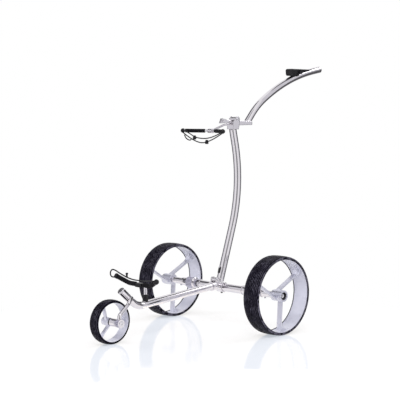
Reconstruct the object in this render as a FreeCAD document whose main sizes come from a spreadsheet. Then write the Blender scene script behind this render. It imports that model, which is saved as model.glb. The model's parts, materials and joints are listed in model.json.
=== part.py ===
import FreeCAD, Part
import math
import os
import re
import Sketcher
from FreeCAD import Placement, Rotation, Vector

# Electric golf trolley, in millimetres.
# +Z is up, the trolley drives towards -Y and its left side is +X.
# The origin is on the ground, under the middle of the trolley's box.

os.makedirs("parts", exist_ok=True)
doc = FreeCAD.newDocument("golf_trolley")

driving_dimensions = {
    # rear wheels
    "rear_wheel_radius": 150.0,
    "rear_wheel_width": 71.0,
    "rear_axle_y": 36.0,
    "rear_track": 579.0,
    "rear_hub_radius": 21.5,
    "rear_hub_inner": -13.0,
    "rear_spoke_angle": 62.5,
    "rear_spoke_offset": 16.5,
    "rear_spoke_width": 20.0,
    "rear_spoke_x": 4.0,
    "rear_flare": 26.0,
    # front wheel
    "front_wheel_radius": 81.0,
    "front_wheel_width": 41.0,
    "front_axle_y": -542.8,
    "front_hub_radius": 15.0,
    "front_hub_inner": -32.0,
    "front_hub_outer": 5.0,
    "front_hub_floor": 3.0,
    "front_spoke_angle": 104.0,
    "front_spoke_offset": 9.0,
    "front_spoke_width": 13.0,
    "front_spoke_x": -8.0,
    "front_flare": 13.0,
    # what all three wheels share
    "tyre_height": 8.0,
    "tyre_crown": 1.2,
    "tyre_shoulder": 5.0,
    "rim_wall": 2.6,
    "rim_lip": 0.4,
    "spoke_thickness": 6.5,
    "spoke_fillet": 5.0,
    # drive line
    "axle_radius": 7.0,
    "running_gap": 0.05,
    "part_gap": 0.3,
    "edge_chamfer": 1.0,
    "hub_bore_radius": 15.0,
    "hub_bore_depth": 12.0,
    "hub_ring_wall": 5.0,
    "hub_ring_length": 8.0,
    "axle_stand_out": 6.0,
    "button_radius": 4.0,
    "button_length": 12.0,
    "button_stand_out": 3.5,
    "release_travel": 3.0,
    "neck_radius": 13.0,
    "neck_wall": 2.0,
    "neck_socket": 16.0,
    "bearing_width": 7.0,
    "housing_radius": 22.5,
    "housing_wall": 3.0,
    "housing_start": 146.0,
    "housing_length": 70.0,
    "housing_taper": 22.0,
    "housing_collar": 10.0,
    "shaft_entry": 8.0,
    "motor_radius": 18.5,
    "motor_length": 30.0,
    "gearbox_radius": 12.5,
    "gearbox_length": 16.0,
    "pin_radius": 2.0,
    "pin_head_radius": 4.0,
    "pin_head_height": 5.5,
    "pin_clearance": 1.5,
    "pin_x": 230.0,
    # cross tube
    "cross_tube_radius": 16.0,
    "cross_tube_wall": 2.0,
    "cross_tube_half": 150.0,
    "cross_collar_x": 113.5,
    "cross_collar_width": 5.0,
    "cross_collar_height": 1.8,
    "board_length": 150.0,
    "board_thickness": 2.0,
    "chip_height": 7.0,
    "socket_radius": 4.0,
    "socket_length": 8.0,
    # junction block and lower fold
    "block_wall": 4.0,
    "ear_wall": 4.7,
    "ear_gap": 18.6,
    "ear_radius": 10.5,
    "fold_y": -2.0,
    "fold_z": 183.5,
    "fold_eye_radius": 9.0,
    "fold_pin_radius": 4.0,
    "pin_cap_radius": 6.5,
    "pin_cap_height": 3.0,
    "foot_clearance": 2.5,
    "foot_plug": 30.0,
    "foot_length": 12.0,
    "foot_toe": 4.0,
    # frame tubes
    "tube_wall": 1.6,
    "main_radius": 14.0,
    "main_tip_y": -490.0,
    "main_tip_z": 187.5,
    "main_rise_angle": 40.5,
    "main_rise_length": 72.0,
    "main_bend_radius": 71.0,
    "main_slope": 5.3,
    "main_length": 380.0,
    "socket_reach": 20.0,
    "plug_depth": 14.0,
    "plug_head": 2.5,
    "upright_radius": 15.0,
    "upright_start_y": 28.4,
    "upright_start_z": 184.8,
    "upright_lean": 17.7,
    "upright_lower_length": 209.0,
    "upright_bend_radius": 620.0,
    "upright_top_lean": 13.4,
    "upright_upper_length": 55.0,
    # fold lever on the front of the upright
    "lever_length": 25.0,
    "lever_width": 9.0,
    "lever_thickness": 4.5,
    "lever_pivot_up": 42.0,
    "lug_width": 4.0,
    "lug_reach": 5.0,
    "lug_height": 8.0,
    "lever_standoff": 0.5,
    "lever_overhang": 1.2,
    "lever_pin_inset": 2.0,
    "lever_pin_radius": 1.4,
    # upper joint, measured from the top of the upright
    "joint_back": 9.5,
    "joint_up": 40.0,
    "joint_bolt_radius": 4.0,
    "head_gap": 29.0,
    "head_wall": 3.0,
    "head_plate_radius": 12.0,
    "head_top_drop": 25.0,
    "head_front": 24.0,
    "head_plug": 30.0,
    "head_lap": 1.0,
    "head_back": 6.0,
    "head_shoulder": 8.0,
    "head_front_wall": 4.0,
    "head_collar_height": 2.0,
    "bracket_width": 12.0,
    "bracket_reach": 82.0,
    "bracket_hole_radius": 3.0,
    "bracket_hole_reach": 71.0,
    "bracket_hole_drop": 5.5,
    "bracket_lap": 2.0,
    "link_width": 28.0,
    "link_eye_radius": 11.0,
    "link_length": 88.0,
    "link_drop": 23.5,
    "link_height": 18.0,
    "link_taper": 1.5,
    "link_rise_back": 18.0,
    # handle, measured from the joint's bolt
    "handle_radius": 13.8,
    "handle_start_back": 72.1,
    "handle_start_drop": 12.4,
    "handle_angle": 49.5,
    "handle_lower_length": 41.0,
    "handle_lower_bend": 314.0,
    "handle_middle_angle": 32.6,
    "handle_middle_length": 5.0,
    "handle_upper_bend": 850.0,
    "handle_top_angle": 10.4,
    "handle_upper_length": 41.4,
    # control housing, measured from the joint's bolt
    "control_front": 318.0,
    "control_length": 129.0,
    "control_bottom": 179.0,
    "control_height": 29.0,
    "control_width": 32.0,
    "control_wall": 3.0,
    "control_corner": 8.0,
    "control_board_length": 42.0,
    "control_board_thickness": 2.0,
    "control_board_room": 4.0,
    "dial_radius": 7.5,
    "dial_height": 9.0,
    "dial_shaft_radius": 3.0,
    "dial_shaft_length": 7.0,
    "dial_back": 375.0,
    "dial_up": 194.5,
    # lower bag holder
    "post_radius": 6.2,
    "post_y": -371.0,
    "post_top_z": 193.0,
    "collar_radius": 10.5,
    "collar_height": 23.0,
    "saddle_thickness": 5.0,
    "saddle_width": 30.0,
    "saddle_rear_y": -360.0,
    "saddle_front_y": -409.0,
    "lower_half_width": 110.0,
    "lower_rod_radius": 4.0,
    "lower_pad_radius": 9.0,
    "lower_pad_start": 19.0,
    "lower_knee": 58.0,
    "lower_bend_radius": 70.0,
    "lower_centre_y": -398.0,
    "lower_tip_y": -418.0,
    "lower_tip_rise": 23.0,
    "cap_extra": 1.0,
    "cap_length": 12.0,
    "strap_radius": 2.5,
    "peg_radius": 5.0,
    "peg_height": 17.0,
    "peg_x": -66.0,
    # upper bag holder
    "upper_half_width": 108.4,
    "upper_rod_radius": 5.0,
    "upper_sleeve_radius": 7.6,
    "upper_sleeve_start": 26.0,
    "upper_reach": 132.5,
    "upper_drop": 44.5,
    "upper_knee": 20.0,
    "upper_bend_radius": 30.0,
    "upper_sweep": 45.5,
    "upper_ball_radius": 9.0,
    "cord_radius": 2.2,
    "cord_lock_radius": 8.0,
    "boss_radius": 9.0,
    "boss_width": 22.0,
    "holder_arm_radius": 4.5,
    # front axle
    "arm_radius": 7.2,
    "arm_x": 50.0,
    "arm_bend": 14.0,
    "arm_side_x": 38.0,
    "arm_side_y": -490.0,
    "arm_side_z": 141.0,
    "arm_side_bend": 60.0,
    "arm_joint_x": 6.0,
    "arm_joint_y": -445.0,
    "arm_joint_z": 158.0,
    "sleeve_radius": 15.5,
    "sleeve_start": 12.0,
    "sleeve_end": 62.0,
    "front_axle_radius": 6.0,
    "front_bearing_radius": 10.0,
    "front_bearing_width": 7.0,
    "end_screw_radius": 9.0,
    "end_screw_height": 3.0,
    "spacer_radius": 13.5,
}

sheet = doc.addObject("Spreadsheet::Sheet", "Size")
for row, (alias, number) in enumerate(driving_dimensions.items(), start=1):
    sheet.set(f"A{row}", alias)
    sheet.set(f"B{row}", str(number))
    sheet.setAlias(f"B{row}", alias)
doc.recompute()


# ---- helpers ----

def size(text):
    """The number that an expression of sheet names gives."""
    return float(sheet.evalExpression(text))


def bind(thing, **places):
    """Bind properties to sheet names; a double underscore stands for a dot."""
    for place, text in places.items():
        linked = re.sub(r"(?<![\w.])([a-z]\w*)(?![\w(])", r"Size.\1", text)
        thing.setExpression(place.replace("__", "."), linked)


def place(thing, x="0", y="0", z="0", turn=None):
    thing.Placement = Placement(Vector(), turn or Rotation())
    bind(thing, Placement__Base__x=x, Placement__Base__y=y, Placement__Base__z=z)


def new_body(label):
    body = doc.addObject("PartDesign::Body", label)
    body.Label = label
    return body


def new_sketch(body, name, role, **offset):
    """A sketch on one of the body's own origin planes."""
    sketch = body.newObject("Sketcher::SketchObject", f"{body.Label}_{name}")
    plane = next(item for item in body.Origin.OriginFeatures if item.Role == role)
    sketch.AttachmentSupport = [(plane, "")]
    sketch.MapMode = "FlatFace"
    bind(sketch, **{f"AttachmentOffset__Base__{axis}": text for axis, text in offset.items()})
    return sketch


def hold(sketch, kind, name, text, *where):
    """A named constraint whose value follows the sheet."""
    value = math.radians(size(text)) if kind == "Angle" else size(text)
    index = sketch.addConstraint(Sketcher.Constraint(kind, *where, value))
    sketch.renameConstraint(index, name)
    bind(sketch, **{f"Constraints__{name}": text})


def hold_point(sketch, name, geometry, end, across, up):
    """Hold a point at its two distances from the sketch's origin."""
    for kind, axis, text in (("DistanceX", -2, across), ("DistanceY", -1, up)):
        if text == "0":
            sketch.addConstraint(Sketcher.Constraint("PointOnObject", geometry, end, axis))
        else:
            hold(sketch, kind, f"{name}_{kind[-1].lower()}", text, -1, 1, geometry, end)


def outline(sketch, corners):
    """A closed outline of straight edges through the corners."""
    points = [Vector(size(across), size(up), 0) for across, up in corners]
    edges = [sketch.addGeometry(Part.LineSegment(start, end))
             for start, end in zip(points, points[1:] + points[:1])]
    for edge, following in zip(edges, edges[1:] + edges[:1]):
        sketch.addConstraint(Sketcher.Constraint("Coincident", edge, 2, following, 1))
    for edge, (across, up) in zip(edges, corners):
        hold_point(sketch, f"corner{edge}", edge, 1, across, up)


def circle(sketch, name, radius, across="0", up="0"):
    centre = Vector(size(across), size(up), 0)
    ring = sketch.addGeometry(Part.Circle(centre, Vector(0, 0, 1), size(radius)))
    hold(sketch, "Radius", f"{name}_radius", radius, ring)
    hold_point(sketch, name, ring, 3, across, up)


def revolve(body, corners, name="profile", plane="XY_Plane"):
    """Turn a profile of (along, radius) corners about the body's own X axis."""
    sketch = new_sketch(body, name, plane)
    outline(sketch, corners)
    turned = body.newObject("PartDesign::Revolution", f"{body.Label}_{name}_turned")
    turned.Profile = sketch
    turned.ReferenceAxis = (sketch, ["H_Axis"])
    turned.Angle = 360
    return turned


ALONG_X = Rotation()
ALONG_MINUS_X = Rotation(Vector(0, 0, 1), 180)
ALONG_Z = Rotation(Vector(0, 1, 0), -90)


def turned_part(label, corners, x="0", y="0", z="0", turn=ALONG_X, plane="XY_Plane"):
    """A turned part: corners are (distance along its axis, radius)."""
    body = new_body(label)
    revolve(body, corners, plane=plane)
    place(body, x, y, z, turn)
    return body


def slab(label, corners, width, x="0"):
    """A flat plate: (y, z) corners, as thick as width across the trolley, centred on x."""
    body = new_body(label)
    sketch = new_sketch(body, "side", "YZ_Plane")
    outline(sketch, corners)
    pad = body.newObject("PartDesign::Pad", f"{label}_pad")
    pad.Profile = sketch
    pad.SideType = "Symmetric"
    bind(pad, Length=width)
    place(body, x)
    return body


def rod_across(label, radius, start, end, y, z):
    """A round rod along X from start to end."""
    rod = doc.addObject("Part::Cylinder", label)
    bind(rod, Radius=radius, Height=f"({end}) - ({start})")
    place(rod, start, y, z, Rotation(Vector(0, 1, 0), 90))
    return rod


def rod_leaning(label, radius, length, y, z, lean="0", x="0"):
    """A round rod that rises from (x, y, z), leaning back by an angle."""
    rod = doc.addObject("Part::Cylinder", label)
    bind(rod, Radius=radius, Height=length)
    place(rod, x, y, z, Rotation(Vector(-1, 0, 0), 1))
    bind(rod, Placement__Rotation__Angle=lean)
    return rod


def block(label, width, depth, height, x, y, z, lean="0"):
    """A box with its lowest front left corner at (x, y, z)."""
    box = doc.addObject("Part::Box", label)
    bind(box, Length=width, Width=depth, Height=height)
    place(box, x, y, z, Rotation(Vector(-1, 0, 0), 1))
    bind(box, Placement__Rotation__Angle=lean)
    return box


def ball(label, radius, x, y, z):
    sphere = doc.addObject("Part::Sphere", label)
    bind(sphere, Radius=radius)
    place(sphere, x, y, z)
    return sphere


def fuse(label, *shapes):
    joined = doc.addObject("Part::MultiFuse", label)
    joined.Shapes = list(shapes)
    joined.Refine = True
    return joined


def cut(label, base, *tools):
    tool = tools[0]
    if len(tools) > 1:
        tool = fuse(f"{label}_tools", *tools)
    rest = doc.addObject("Part::Cut", label)
    rest.Base = base
    rest.Tool = tool
    rest.Refine = True
    return rest


def group(label, *shapes):
    """Identical pieces that share a node."""
    together = doc.addObject("Part::Compound", label)
    together.Links = list(shapes)
    return together


def bent_tube(label, start, legs, outer, wall=None):
    """A tube in the middle plane: legs are ("run", heading, length) or ("bend", radius)."""
    body = new_body(label)
    path = new_sketch(body, "path", "YZ_Plane")
    point = Vector(size(start[0]), size(start[1]), 0)
    headings = [math.radians(size(leg[1])) for leg in legs if leg[0] == "run"]
    run = -1
    for number, leg in enumerate(legs):
        if leg[0] == "run":
            run += 1
            ahead = Vector(math.cos(headings[run]), math.sin(headings[run]), 0)
            finish = point + ahead * size(leg[2])
            path.addGeometry(Part.LineSegment(point, finish))
            hold(path, "Distance", f"length{number}", leg[2], number)
            hold(path, "Angle", f"heading{number}", leg[1], number)
            entry = (number, 2)
        else:
            before, after = headings[run], headings[run + 1]
            hand = 1 if after > before else -1
            radius = size(leg[1])
            centre = point + Vector(-math.sin(before), math.cos(before), 0) * hand * radius
            begin, close = sorted((before - hand * math.pi / 2, after - hand * math.pi / 2))
            path.addGeometry(Part.ArcOfCircle(Part.Circle(centre, Vector(0, 0, 1), radius), begin, close))
            hold(path, "Radius", f"radius{number}", leg[1], number)
            finish = centre + Vector(math.sin(after), -math.cos(after), 0) * hand * radius
            entry = (number, 2 if hand > 0 else 1)
        if number:
            into = 1 if leg[0] == "run" or entry[1] == 2 else 2
            path.addConstraint(Sketcher.Constraint("Tangent", *leaving, number, into))
        leaving = entry
        point = finish
    hold_point(path, "start", 0, 1, *start)
    section = new_sketch(body, "section", "XY_Plane", y=start[0], z=start[1])
    section.AttachmentOffset = Placement(Vector(), Rotation(Vector(1, 0, 0), 1))
    bind(section, AttachmentOffset__Base__y=start[0], AttachmentOffset__Base__z=start[1],
         AttachmentOffset__Rotation__Angle=f"{legs[0][1]} - 90")
    circle(section, "outside", outer)
    if wall:
        circle(section, "inside", f"{outer} - {wall}")
    doc.recompute()
    pipe = body.newObject("PartDesign::AdditivePipe", f"{label}_pipe")
    pipe.Profile = section
    pipe.Spine = (path, [f"Edge{number + 1}" for number in range(len(legs))])
    doc.recompute()
    return body


def rounded_wire(corners, radii):
    """Straight runs through the corners, joined by tangent arcs of these radii."""
    edges = []
    start = corners[0]
    for before, corner, after, radius in zip(corners, corners[1:], corners[2:], radii):
        back = (before - corner).normalize()
        ahead = (after - corner).normalize()
        half_turn = (math.pi - back.getAngle(ahead)) / 2
        trim = radius * math.tan(half_turn)
        inward = (back + ahead).normalize()
        middle = corner + inward * (radius / math.cos(half_turn) - radius)
        enter = corner + back * trim
        leave = corner + ahead * trim
        edges.append(Part.LineSegment(start, enter).toShape())
        edges.append(Part.Arc(enter, middle, leave).toShape())
        start = leave
    edges.append(Part.LineSegment(start, corners[-1]).toShape())
    return Part.Wire(edges)


def swept_solid(wire, radius):
    first = wire.Edges[0]
    heading = first.tangentAt(first.FirstParameter)
    ring = Part.Wire([Part.makeCircle(radius, wire.Vertexes[0].Point, heading)])
    return wire.makePipeShell([ring], True, False)


def point(across, back, up):
    return Vector(size(across), size(back), size(up))


def round_bar(label, corners, radii, radius):
    """A round bar along a path in space."""
    bar = doc.addObject("Part::Feature", label)
    bar.Shape = swept_solid(rounded_wire(corners, radii), size(radius))
    return bar


def cord(label, corners, radius):
    """A cord of straight runs, with the widest even bends that the runs allow."""
    bends = []
    for before, corner, after in zip(corners, corners[1:], corners[2:]):
        back = before - corner
        ahead = after - corner
        half_turn = (math.pi - back.getAngle(ahead)) / 2
        bends.append(0.45 * min(back.Length, ahead.Length) / math.tan(half_turn))
    print(label, "bends:", ", ".join(f"{bend:.1f}" for bend in bends))
    return round_bar(label, corners, bends, radius)


# ---- wheels ----

def blade_edges(shape, radius, side, width, angle, offset):
    """The edges where the blades meet a ring, on their outer (+1) or inner (-1) side."""
    found = []
    for number, edge in enumerate(shape.Edges, start=1):
        across = edge.BoundBox.XLength
        middle = edge.BoundBox.Center
        if abs(across - width) > 0.01 or edge.Length > across + 0.01:
            continue
        if abs(math.hypot(middle.y, middle.z) - radius) > 0.01:
            continue
        for turn in range(3):
            facing = math.radians(angle + 120 * turn - 90)
            along = math.radians(angle + 120 * turn)
            lift = middle.y * math.sin(facing) + middle.z * math.cos(facing)
            reach = middle.y * math.sin(along) + middle.z * math.cos(along)
            if reach > 0 and abs(lift) < radius and (abs(lift) - abs(offset)) * side > 0:
                if abs(abs(lift) - abs(offset)) < size("spoke_thickness"):
                    found.append(f"Edge{number}")
    return sorted(set(found))


def round_blades(body, name, radius, side, end, hand, fillet):
    """Fillet the blades where they meet a ring of this radius."""
    edges = blade_edges(body.Shape, size(radius), side, size(f"{end}_spoke_width"),
                        hand * size(f"{end}_spoke_angle"), size(f"{end}_spoke_offset"))
    unrounded = body.Tip
    rounded = body.newObject("PartDesign::Fillet", f"{body.Label}_{name}")
    rounded.Base = (unrounded, edges)
    bind(rounded, Radius=fillet)
    body.Tip = rounded
    doc.recompute()


def add_spokes(body, end, hand):
    """Three blades, each nearly tangent to the hub, with a flared foot on the rim."""
    ring_radius = f"{end}_wheel_radius - tyre_height - rim_wall"
    sign = "" if hand > 0 else "-"
    sketch = new_sketch(body, "spoke", "YZ_Plane", z=f"{end}_spoke_x")
    low = f"{sign}({end}_spoke_offset - spoke_thickness / 2)"
    high = f"{sign}({end}_spoke_offset + spoke_thickness / 2)"
    reach = f"{ring_radius} + rim_wall / 4"
    root = f"sqrt({end}_hub_radius ^ 2 - ({end}_spoke_offset + spoke_thickness / 2) ^ 2) - part_gap"
    outline(sketch, [(root, low), (root, high), (reach, high), (reach, low)])
    bind(sketch, AttachmentOffset__Rotation__Angle=f"90 - {sign}{end}_spoke_angle")
    blade = body.newObject("PartDesign::Pad", f"{body.Label}_blade")
    blade.Profile = sketch
    blade.SideType = "Symmetric"
    bind(blade, Length=f"{end}_spoke_width")
    doc.recompute()
    blades = body.newObject("PartDesign::PolarPattern", f"{body.Label}_blades")
    blades.Originals = [blade]
    blades.Axis = (body.Origin.OriginFeatures[0], [""])
    blades.Angle = 360
    blades.Occurrences = 3
    body.Tip = blades
    doc.recompute()
    round_blades(body, "foot_flare", ring_radius, 1, end, hand, f"{end}_flare")
    round_blades(body, "foot_fillet", ring_radius, -1, end, hand, "spoke_fillet")
    round_blades(body, "root_fillet", f"{end}_hub_radius", -1, end, hand, "spoke_fillet")


def tyre_profile(end):
    half = f"{end}_wheel_width / 2"
    crown = f"{end}_wheel_radius"
    shoulder = f"{end}_wheel_radius - tyre_crown"
    edge = f"{end}_wheel_radius - tyre_crown * 2.5"
    lip = f"{end}_wheel_radius - tyre_height + rim_lip"
    seat = f"{end}_wheel_radius - tyre_height"
    inner = f"{half} - rim_wall"
    return [(f"-({inner})", seat), (f"-({inner})", lip), (f"-({half})", lip), (f"-({half})", edge),
            (f"-({half}) + tyre_shoulder", shoulder), ("0", crown),
            (f"{half} - tyre_shoulder", shoulder), (half, edge), (half, lip), (inner, lip), (inner, seat)]


def rim_profile(end):
    half = f"{end}_wheel_width / 2"
    inner = f"{half} - rim_wall"
    lip = f"{end}_wheel_radius - tyre_height + rim_lip"
    seat = f"{end}_wheel_radius - tyre_height"
    bore = f"{end}_wheel_radius - tyre_height - rim_wall"
    return [(f"-({half})", bore), (f"-({half})", lip), (f"-({inner})", lip), (f"-({inner})", seat),
            (inner, seat), (inner, lip), (half, lip), (half, bore)]


def rear_hub_profile():
    outer = "rear_wheel_width / 2"
    floor = "rear_wheel_width / 2 - hub_bore_depth"
    return [("rear_hub_inner", "axle_radius"), ("rear_hub_inner", "rear_hub_radius"),
            (outer, "rear_hub_radius"), (outer, "hub_bore_radius"),
            (floor, "hub_bore_radius"), (floor, "axle_radius")]


for side, sign, hand, turn in (("left", "", 1, ALONG_X), ("right", "-", -1, ALONG_MINUS_X)):
    rim = new_body(f"{side}_rim")
    revolve(rim, rim_profile("rear"), "barrel")
    revolve(rim, rear_hub_profile(), "hub")
    doc.recompute()
    add_spokes(rim, "rear", hand)
    place(rim, f"{sign}rear_track / 2", "rear_axle_y", "rear_wheel_radius", turn)
    turned_part(f"{side}_tyre", tyre_profile("rear"), f"{sign}rear_track / 2", "rear_axle_y",
                "rear_wheel_radius", turn)


# ---- drive line: wheel axles, necks, housings, gear motors ----

axle_z = "rear_wheel_radius"
hub_inner = "(rear_track / 2 + rear_hub_inner)"
hub_floor = "(rear_track / 2 + rear_wheel_width / 2 - hub_bore_depth)"
axle_end = f"({hub_floor} + axle_stand_out)"
button_floor = f"({axle_end} + button_stand_out - button_length - release_travel - 1)"
housing_end = "(housing_start + housing_length)"
bulge_end = f"({housing_end} - housing_collar - housing_taper)"
neck_start = f"({housing_end} - neck_socket)"
neck_end = f"({hub_inner} - part_gap * 4)"
neck_bore = "(neck_radius - neck_wall)"
motor_start = "(cross_tube_half + part_gap * 4)"
motor_end = f"({motor_start} + motor_length)"
gearbox_end = f"({motor_end} + gearbox_length)"
shaft_bore = "(axle_radius + running_gap)"

bearings = []
for side, sign, hand, turn in (("left", "", 1, ALONG_X), ("right", "-", -1, ALONG_MINUS_X)):
    turned_part(f"{side}_drive_axle", [
        (f"{gearbox_end} - shaft_entry", "0"), (f"{gearbox_end} - shaft_entry", "axle_radius"),
        (axle_end, "axle_radius"), (axle_end, "button_radius + running_gap"),
        (button_floor, "button_radius + running_gap"), (button_floor, "0")],
        "0", "rear_axle_y", axle_z, turn)
    turned_part(f"{side}_release_button", [
        (f"{axle_end} + button_stand_out - button_length", "0"),
        (f"{axle_end} + button_stand_out - button_length", "button_radius"),
        (f"{axle_end} + button_stand_out - edge_chamfer", "button_radius"),
        (f"{axle_end} + button_stand_out", "button_radius - edge_chamfer"),
        (f"{axle_end} + button_stand_out", "0")],
        "0", "rear_axle_y", axle_z, turn)
    turned_part(f"{side}_hub_ring", [
        (hub_floor, "hub_bore_radius - hub_ring_wall"), (hub_floor, "hub_bore_radius"),
        (f"{hub_floor} + hub_ring_length", "hub_bore_radius"),
        (f"{hub_floor} + hub_ring_length", "hub_bore_radius - hub_ring_wall")],
        "0", "rear_axle_y", axle_z, turn)

    neck = new_body(f"{side}_axle_neck")
    revolve(neck, [(neck_start, neck_bore), (neck_start, "neck_radius"),
                   (neck_end, "neck_radius"), (neck_end, neck_bore)])
    hole = new_sketch(neck, "pin_hole", "XY_Plane")
    circle(hole, "pin_hole", "pin_radius + running_gap", "pin_x")
    doc.recompute()
    pocket = neck.newObject("PartDesign::Pocket", f"{side}_pin_pocket")
    pocket.Profile = hole
    pocket.Type = "ThroughAll"
    place(neck, "0", "rear_axle_y", axle_z, turn)

    turned_part(f"{side}_coupling_pin", [
        ("-(neck_radius + part_gap + pin_head_height)", "0"),
        ("-(neck_radius + part_gap + pin_head_height)", "pin_head_radius - edge_chamfer"),
        ("-(neck_radius + part_gap + pin_head_height - edge_chamfer)", "pin_head_radius"),
        ("-(neck_radius + part_gap)", "pin_head_radius"), ("-(neck_radius + part_gap)", "pin_radius"),
        ("-(axle_radius + pin_clearance)", "pin_radius"), ("-(axle_radius + pin_clearance)", "0")],
        f"{sign}pin_x", "rear_axle_y", axle_z, ALONG_Z)

    turned_part(f"{side}_motor_housing", [
        ("housing_start", "cross_tube_radius"), ("housing_start", "cross_tube_radius + housing_wall"),
        ("housing_start + housing_wall", "housing_radius"), (bulge_end, "housing_radius"),
        (f"{housing_end} - housing_collar", "neck_radius + housing_wall"),
        (housing_end, "neck_radius + housing_wall"), (housing_end, "neck_radius"),
        (motor_end, "neck_radius"), (motor_end, "motor_radius"),
        ("cross_tube_half", "motor_radius"), ("cross_tube_half", "cross_tube_radius")],
        "0", "rear_axle_y", axle_z, turn)
    turned_part(f"{side}_gear_motor", [
        (motor_start, "0"), (motor_start, "motor_radius"), (motor_end, "motor_radius"),
        (motor_end, "gearbox_radius"), (gearbox_end, "gearbox_radius"), (gearbox_end, shaft_bore),
        (f"{gearbox_end} - shaft_entry - part_gap", shaft_bore),
        (f"{gearbox_end} - shaft_entry - part_gap", "0")],
        "0", "rear_axle_y", axle_z, turn)
    for spot, start in (("inner", f"({neck_start} + 2)"), ("outer", f"({neck_end} - bearing_width - 1)")):
        bearings.append(turned_part(f"{side}_{spot}_bearing", [
            (start, shaft_bore), (start, neck_bore), (f"{start} + bearing_width", neck_bore),
            (f"{start} + bearing_width", shaft_bore)], "0", "rear_axle_y", axle_z, turn))
group("neck_bearings", *bearings)

# ---- cross tube with its collars, the controller inside and the battery socket below ----

tube_inner = "(cross_tube_radius - cross_tube_wall)"
collar_radius = "(cross_tube_radius + cross_collar_height)"
collar_end = "(cross_collar_x + cross_collar_width)"
cross_tube = new_body("cross_tube")
revolve(cross_tube, [
    ("-cross_tube_half", tube_inner), ("-cross_tube_half", "cross_tube_radius"),
    (f"-{collar_end}", "cross_tube_radius"), (f"-{collar_end}", collar_radius),
    ("-cross_collar_x", collar_radius), ("-cross_collar_x", "cross_tube_radius"),
    ("cross_collar_x", "cross_tube_radius"), ("cross_collar_x", collar_radius),
    (collar_end, collar_radius), (collar_end, "cross_tube_radius"),
    ("cross_tube_half", "cross_tube_radius"), ("cross_tube_half", tube_inner)])
socket_hole = new_sketch(cross_tube, "socket_hole", "XY_Plane")
circle(socket_hole, "socket_hole", "socket_radius - 1")
doc.recompute()
socket_pocket = cross_tube.newObject("PartDesign::Pocket", "socket_pocket")
socket_pocket.Profile = socket_hole
socket_pocket.Type = "ThroughAll"
place(cross_tube, "0", "rear_axle_y", axle_z)

turned_part("battery_socket", [
    ("-(cross_tube_radius + socket_length)", "0"), ("-(cross_tube_radius + socket_length)", "socket_radius"),
    ("-cross_tube_radius", "socket_radius"), ("-cross_tube_radius", "socket_radius - 1"),
    ("-(cross_tube_radius - cross_tube_wall - 1)", "socket_radius - 1"),
    ("-(cross_tube_radius - cross_tube_wall - 1)", "0")], "0", "rear_axle_y", axle_z, ALONG_Z)

board_half = f"sqrt(({tube_inner} - part_gap) ^ 2 - (board_thickness / 2) ^ 2)"
fuse("controller_board",
     block("controller_card", "board_length", f"2 * {board_half}", "board_thickness",
           "-board_length / 2", f"rear_axle_y - {board_half}", f"{axle_z} - board_thickness / 2"),
     block("controller_chips", "board_length / 3", f"{board_half}", "chip_height",
           "-board_length / 6", f"rear_axle_y - {board_half} / 2", f"{axle_z} + board_thickness / 2"))

# ---- main tube, junction block and lower fold ----

rise_y = "(main_tip_y + main_rise_length * cos(main_rise_angle)"
straight_y = f"{rise_y} + main_bend_radius * (sin(main_rise_angle) + sin(main_slope)))"
rise_z = "(main_tip_z - main_rise_length * sin(main_rise_angle)"
straight_z = f"{rise_z} + main_bend_radius * (cos(main_rise_angle) - cos(main_slope)))"
rear_y = f"({straight_y} + main_length * cos(main_slope))"
rear_z = f"({straight_z} + main_length * sin(main_slope))"
foot_bottom = f"({axle_z} + cross_tube_radius + block_wall + foot_clearance)"
block_width = "(ear_gap + 2 * ear_wall)"
main_legs = [("run", "-main_rise_angle", "main_rise_length"), ("bend", "main_bend_radius"),
             ("run", "main_slope", "main_length")]
main_start = ("main_tip_y", "main_tip_z")
bent_tube("main_tube", main_start, main_legs, "main_radius", "tube_wall")
main_bar = bent_tube("main_bar", main_start, main_legs, "main_radius")
fuse("main_tube_plug",
     rod_leaning("main_plug_stem", "main_radius - tube_wall", "plug_depth",
                 "main_tip_y", "main_tip_z", "main_rise_angle + 90"),
     rod_leaning("main_plug_head", "main_radius", "plug_head",
                 "main_tip_y", "main_tip_z", "main_rise_angle - 90"))

socket_bar = rod_leaning("socket_bar", "main_radius + block_wall", "socket_reach",
                         f"{rear_y} - socket_reach * cos(main_slope)",
                         f"{rear_z} - socket_reach * sin(main_slope)", "90 - main_slope")
clamp_bar = rod_across("clamp_bar", "cross_tube_radius + block_wall",
                       f"-{block_width} / 2", f"{block_width} / 2", "rear_axle_y", axle_z)
ear_bar = rod_across("ear_bar", "ear_radius", f"-{block_width} / 2", f"{block_width} / 2",
                     "fold_y", "fold_z")
ear_web = slab("ear_web", [
    ("fold_y - ear_radius", "fold_z"), ("fold_y - ear_radius", f"{rear_z}"),
    ("rear_axle_y", axle_z), ("rear_axle_y", f"{foot_bottom} - 3"),
    ("fold_y + ear_radius", f"{foot_bottom} - 1"), ("fold_y + ear_radius", "fold_z")], block_width)
ear_slot = block("ear_slot", "ear_gap", "4 * ear_radius", "4 * ear_radius", "-ear_gap / 2",
                 "fold_y - 2 * ear_radius", "fold_z - fold_eye_radius - 1")
cross_bar = rod_across("cross_bar", "cross_tube_radius", f"-{block_width}", block_width,
                       "rear_axle_y", axle_z)
pin_bar = rod_across("pin_bar", "fold_pin_radius", f"-{block_width}", block_width, "fold_y", "fold_z")
socket_hole_bar = rod_leaning("socket_hole_bar", "socket_radius", "cross_tube_radius + socket_length",
                              "rear_axle_y", f"{axle_z} - cross_tube_radius - socket_length")
cut("junction_block", fuse("junction_solid", socket_bar, clamp_bar, ear_bar, ear_web),
    ear_slot, cross_bar, pin_bar, main_bar, socket_hole_bar)


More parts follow.
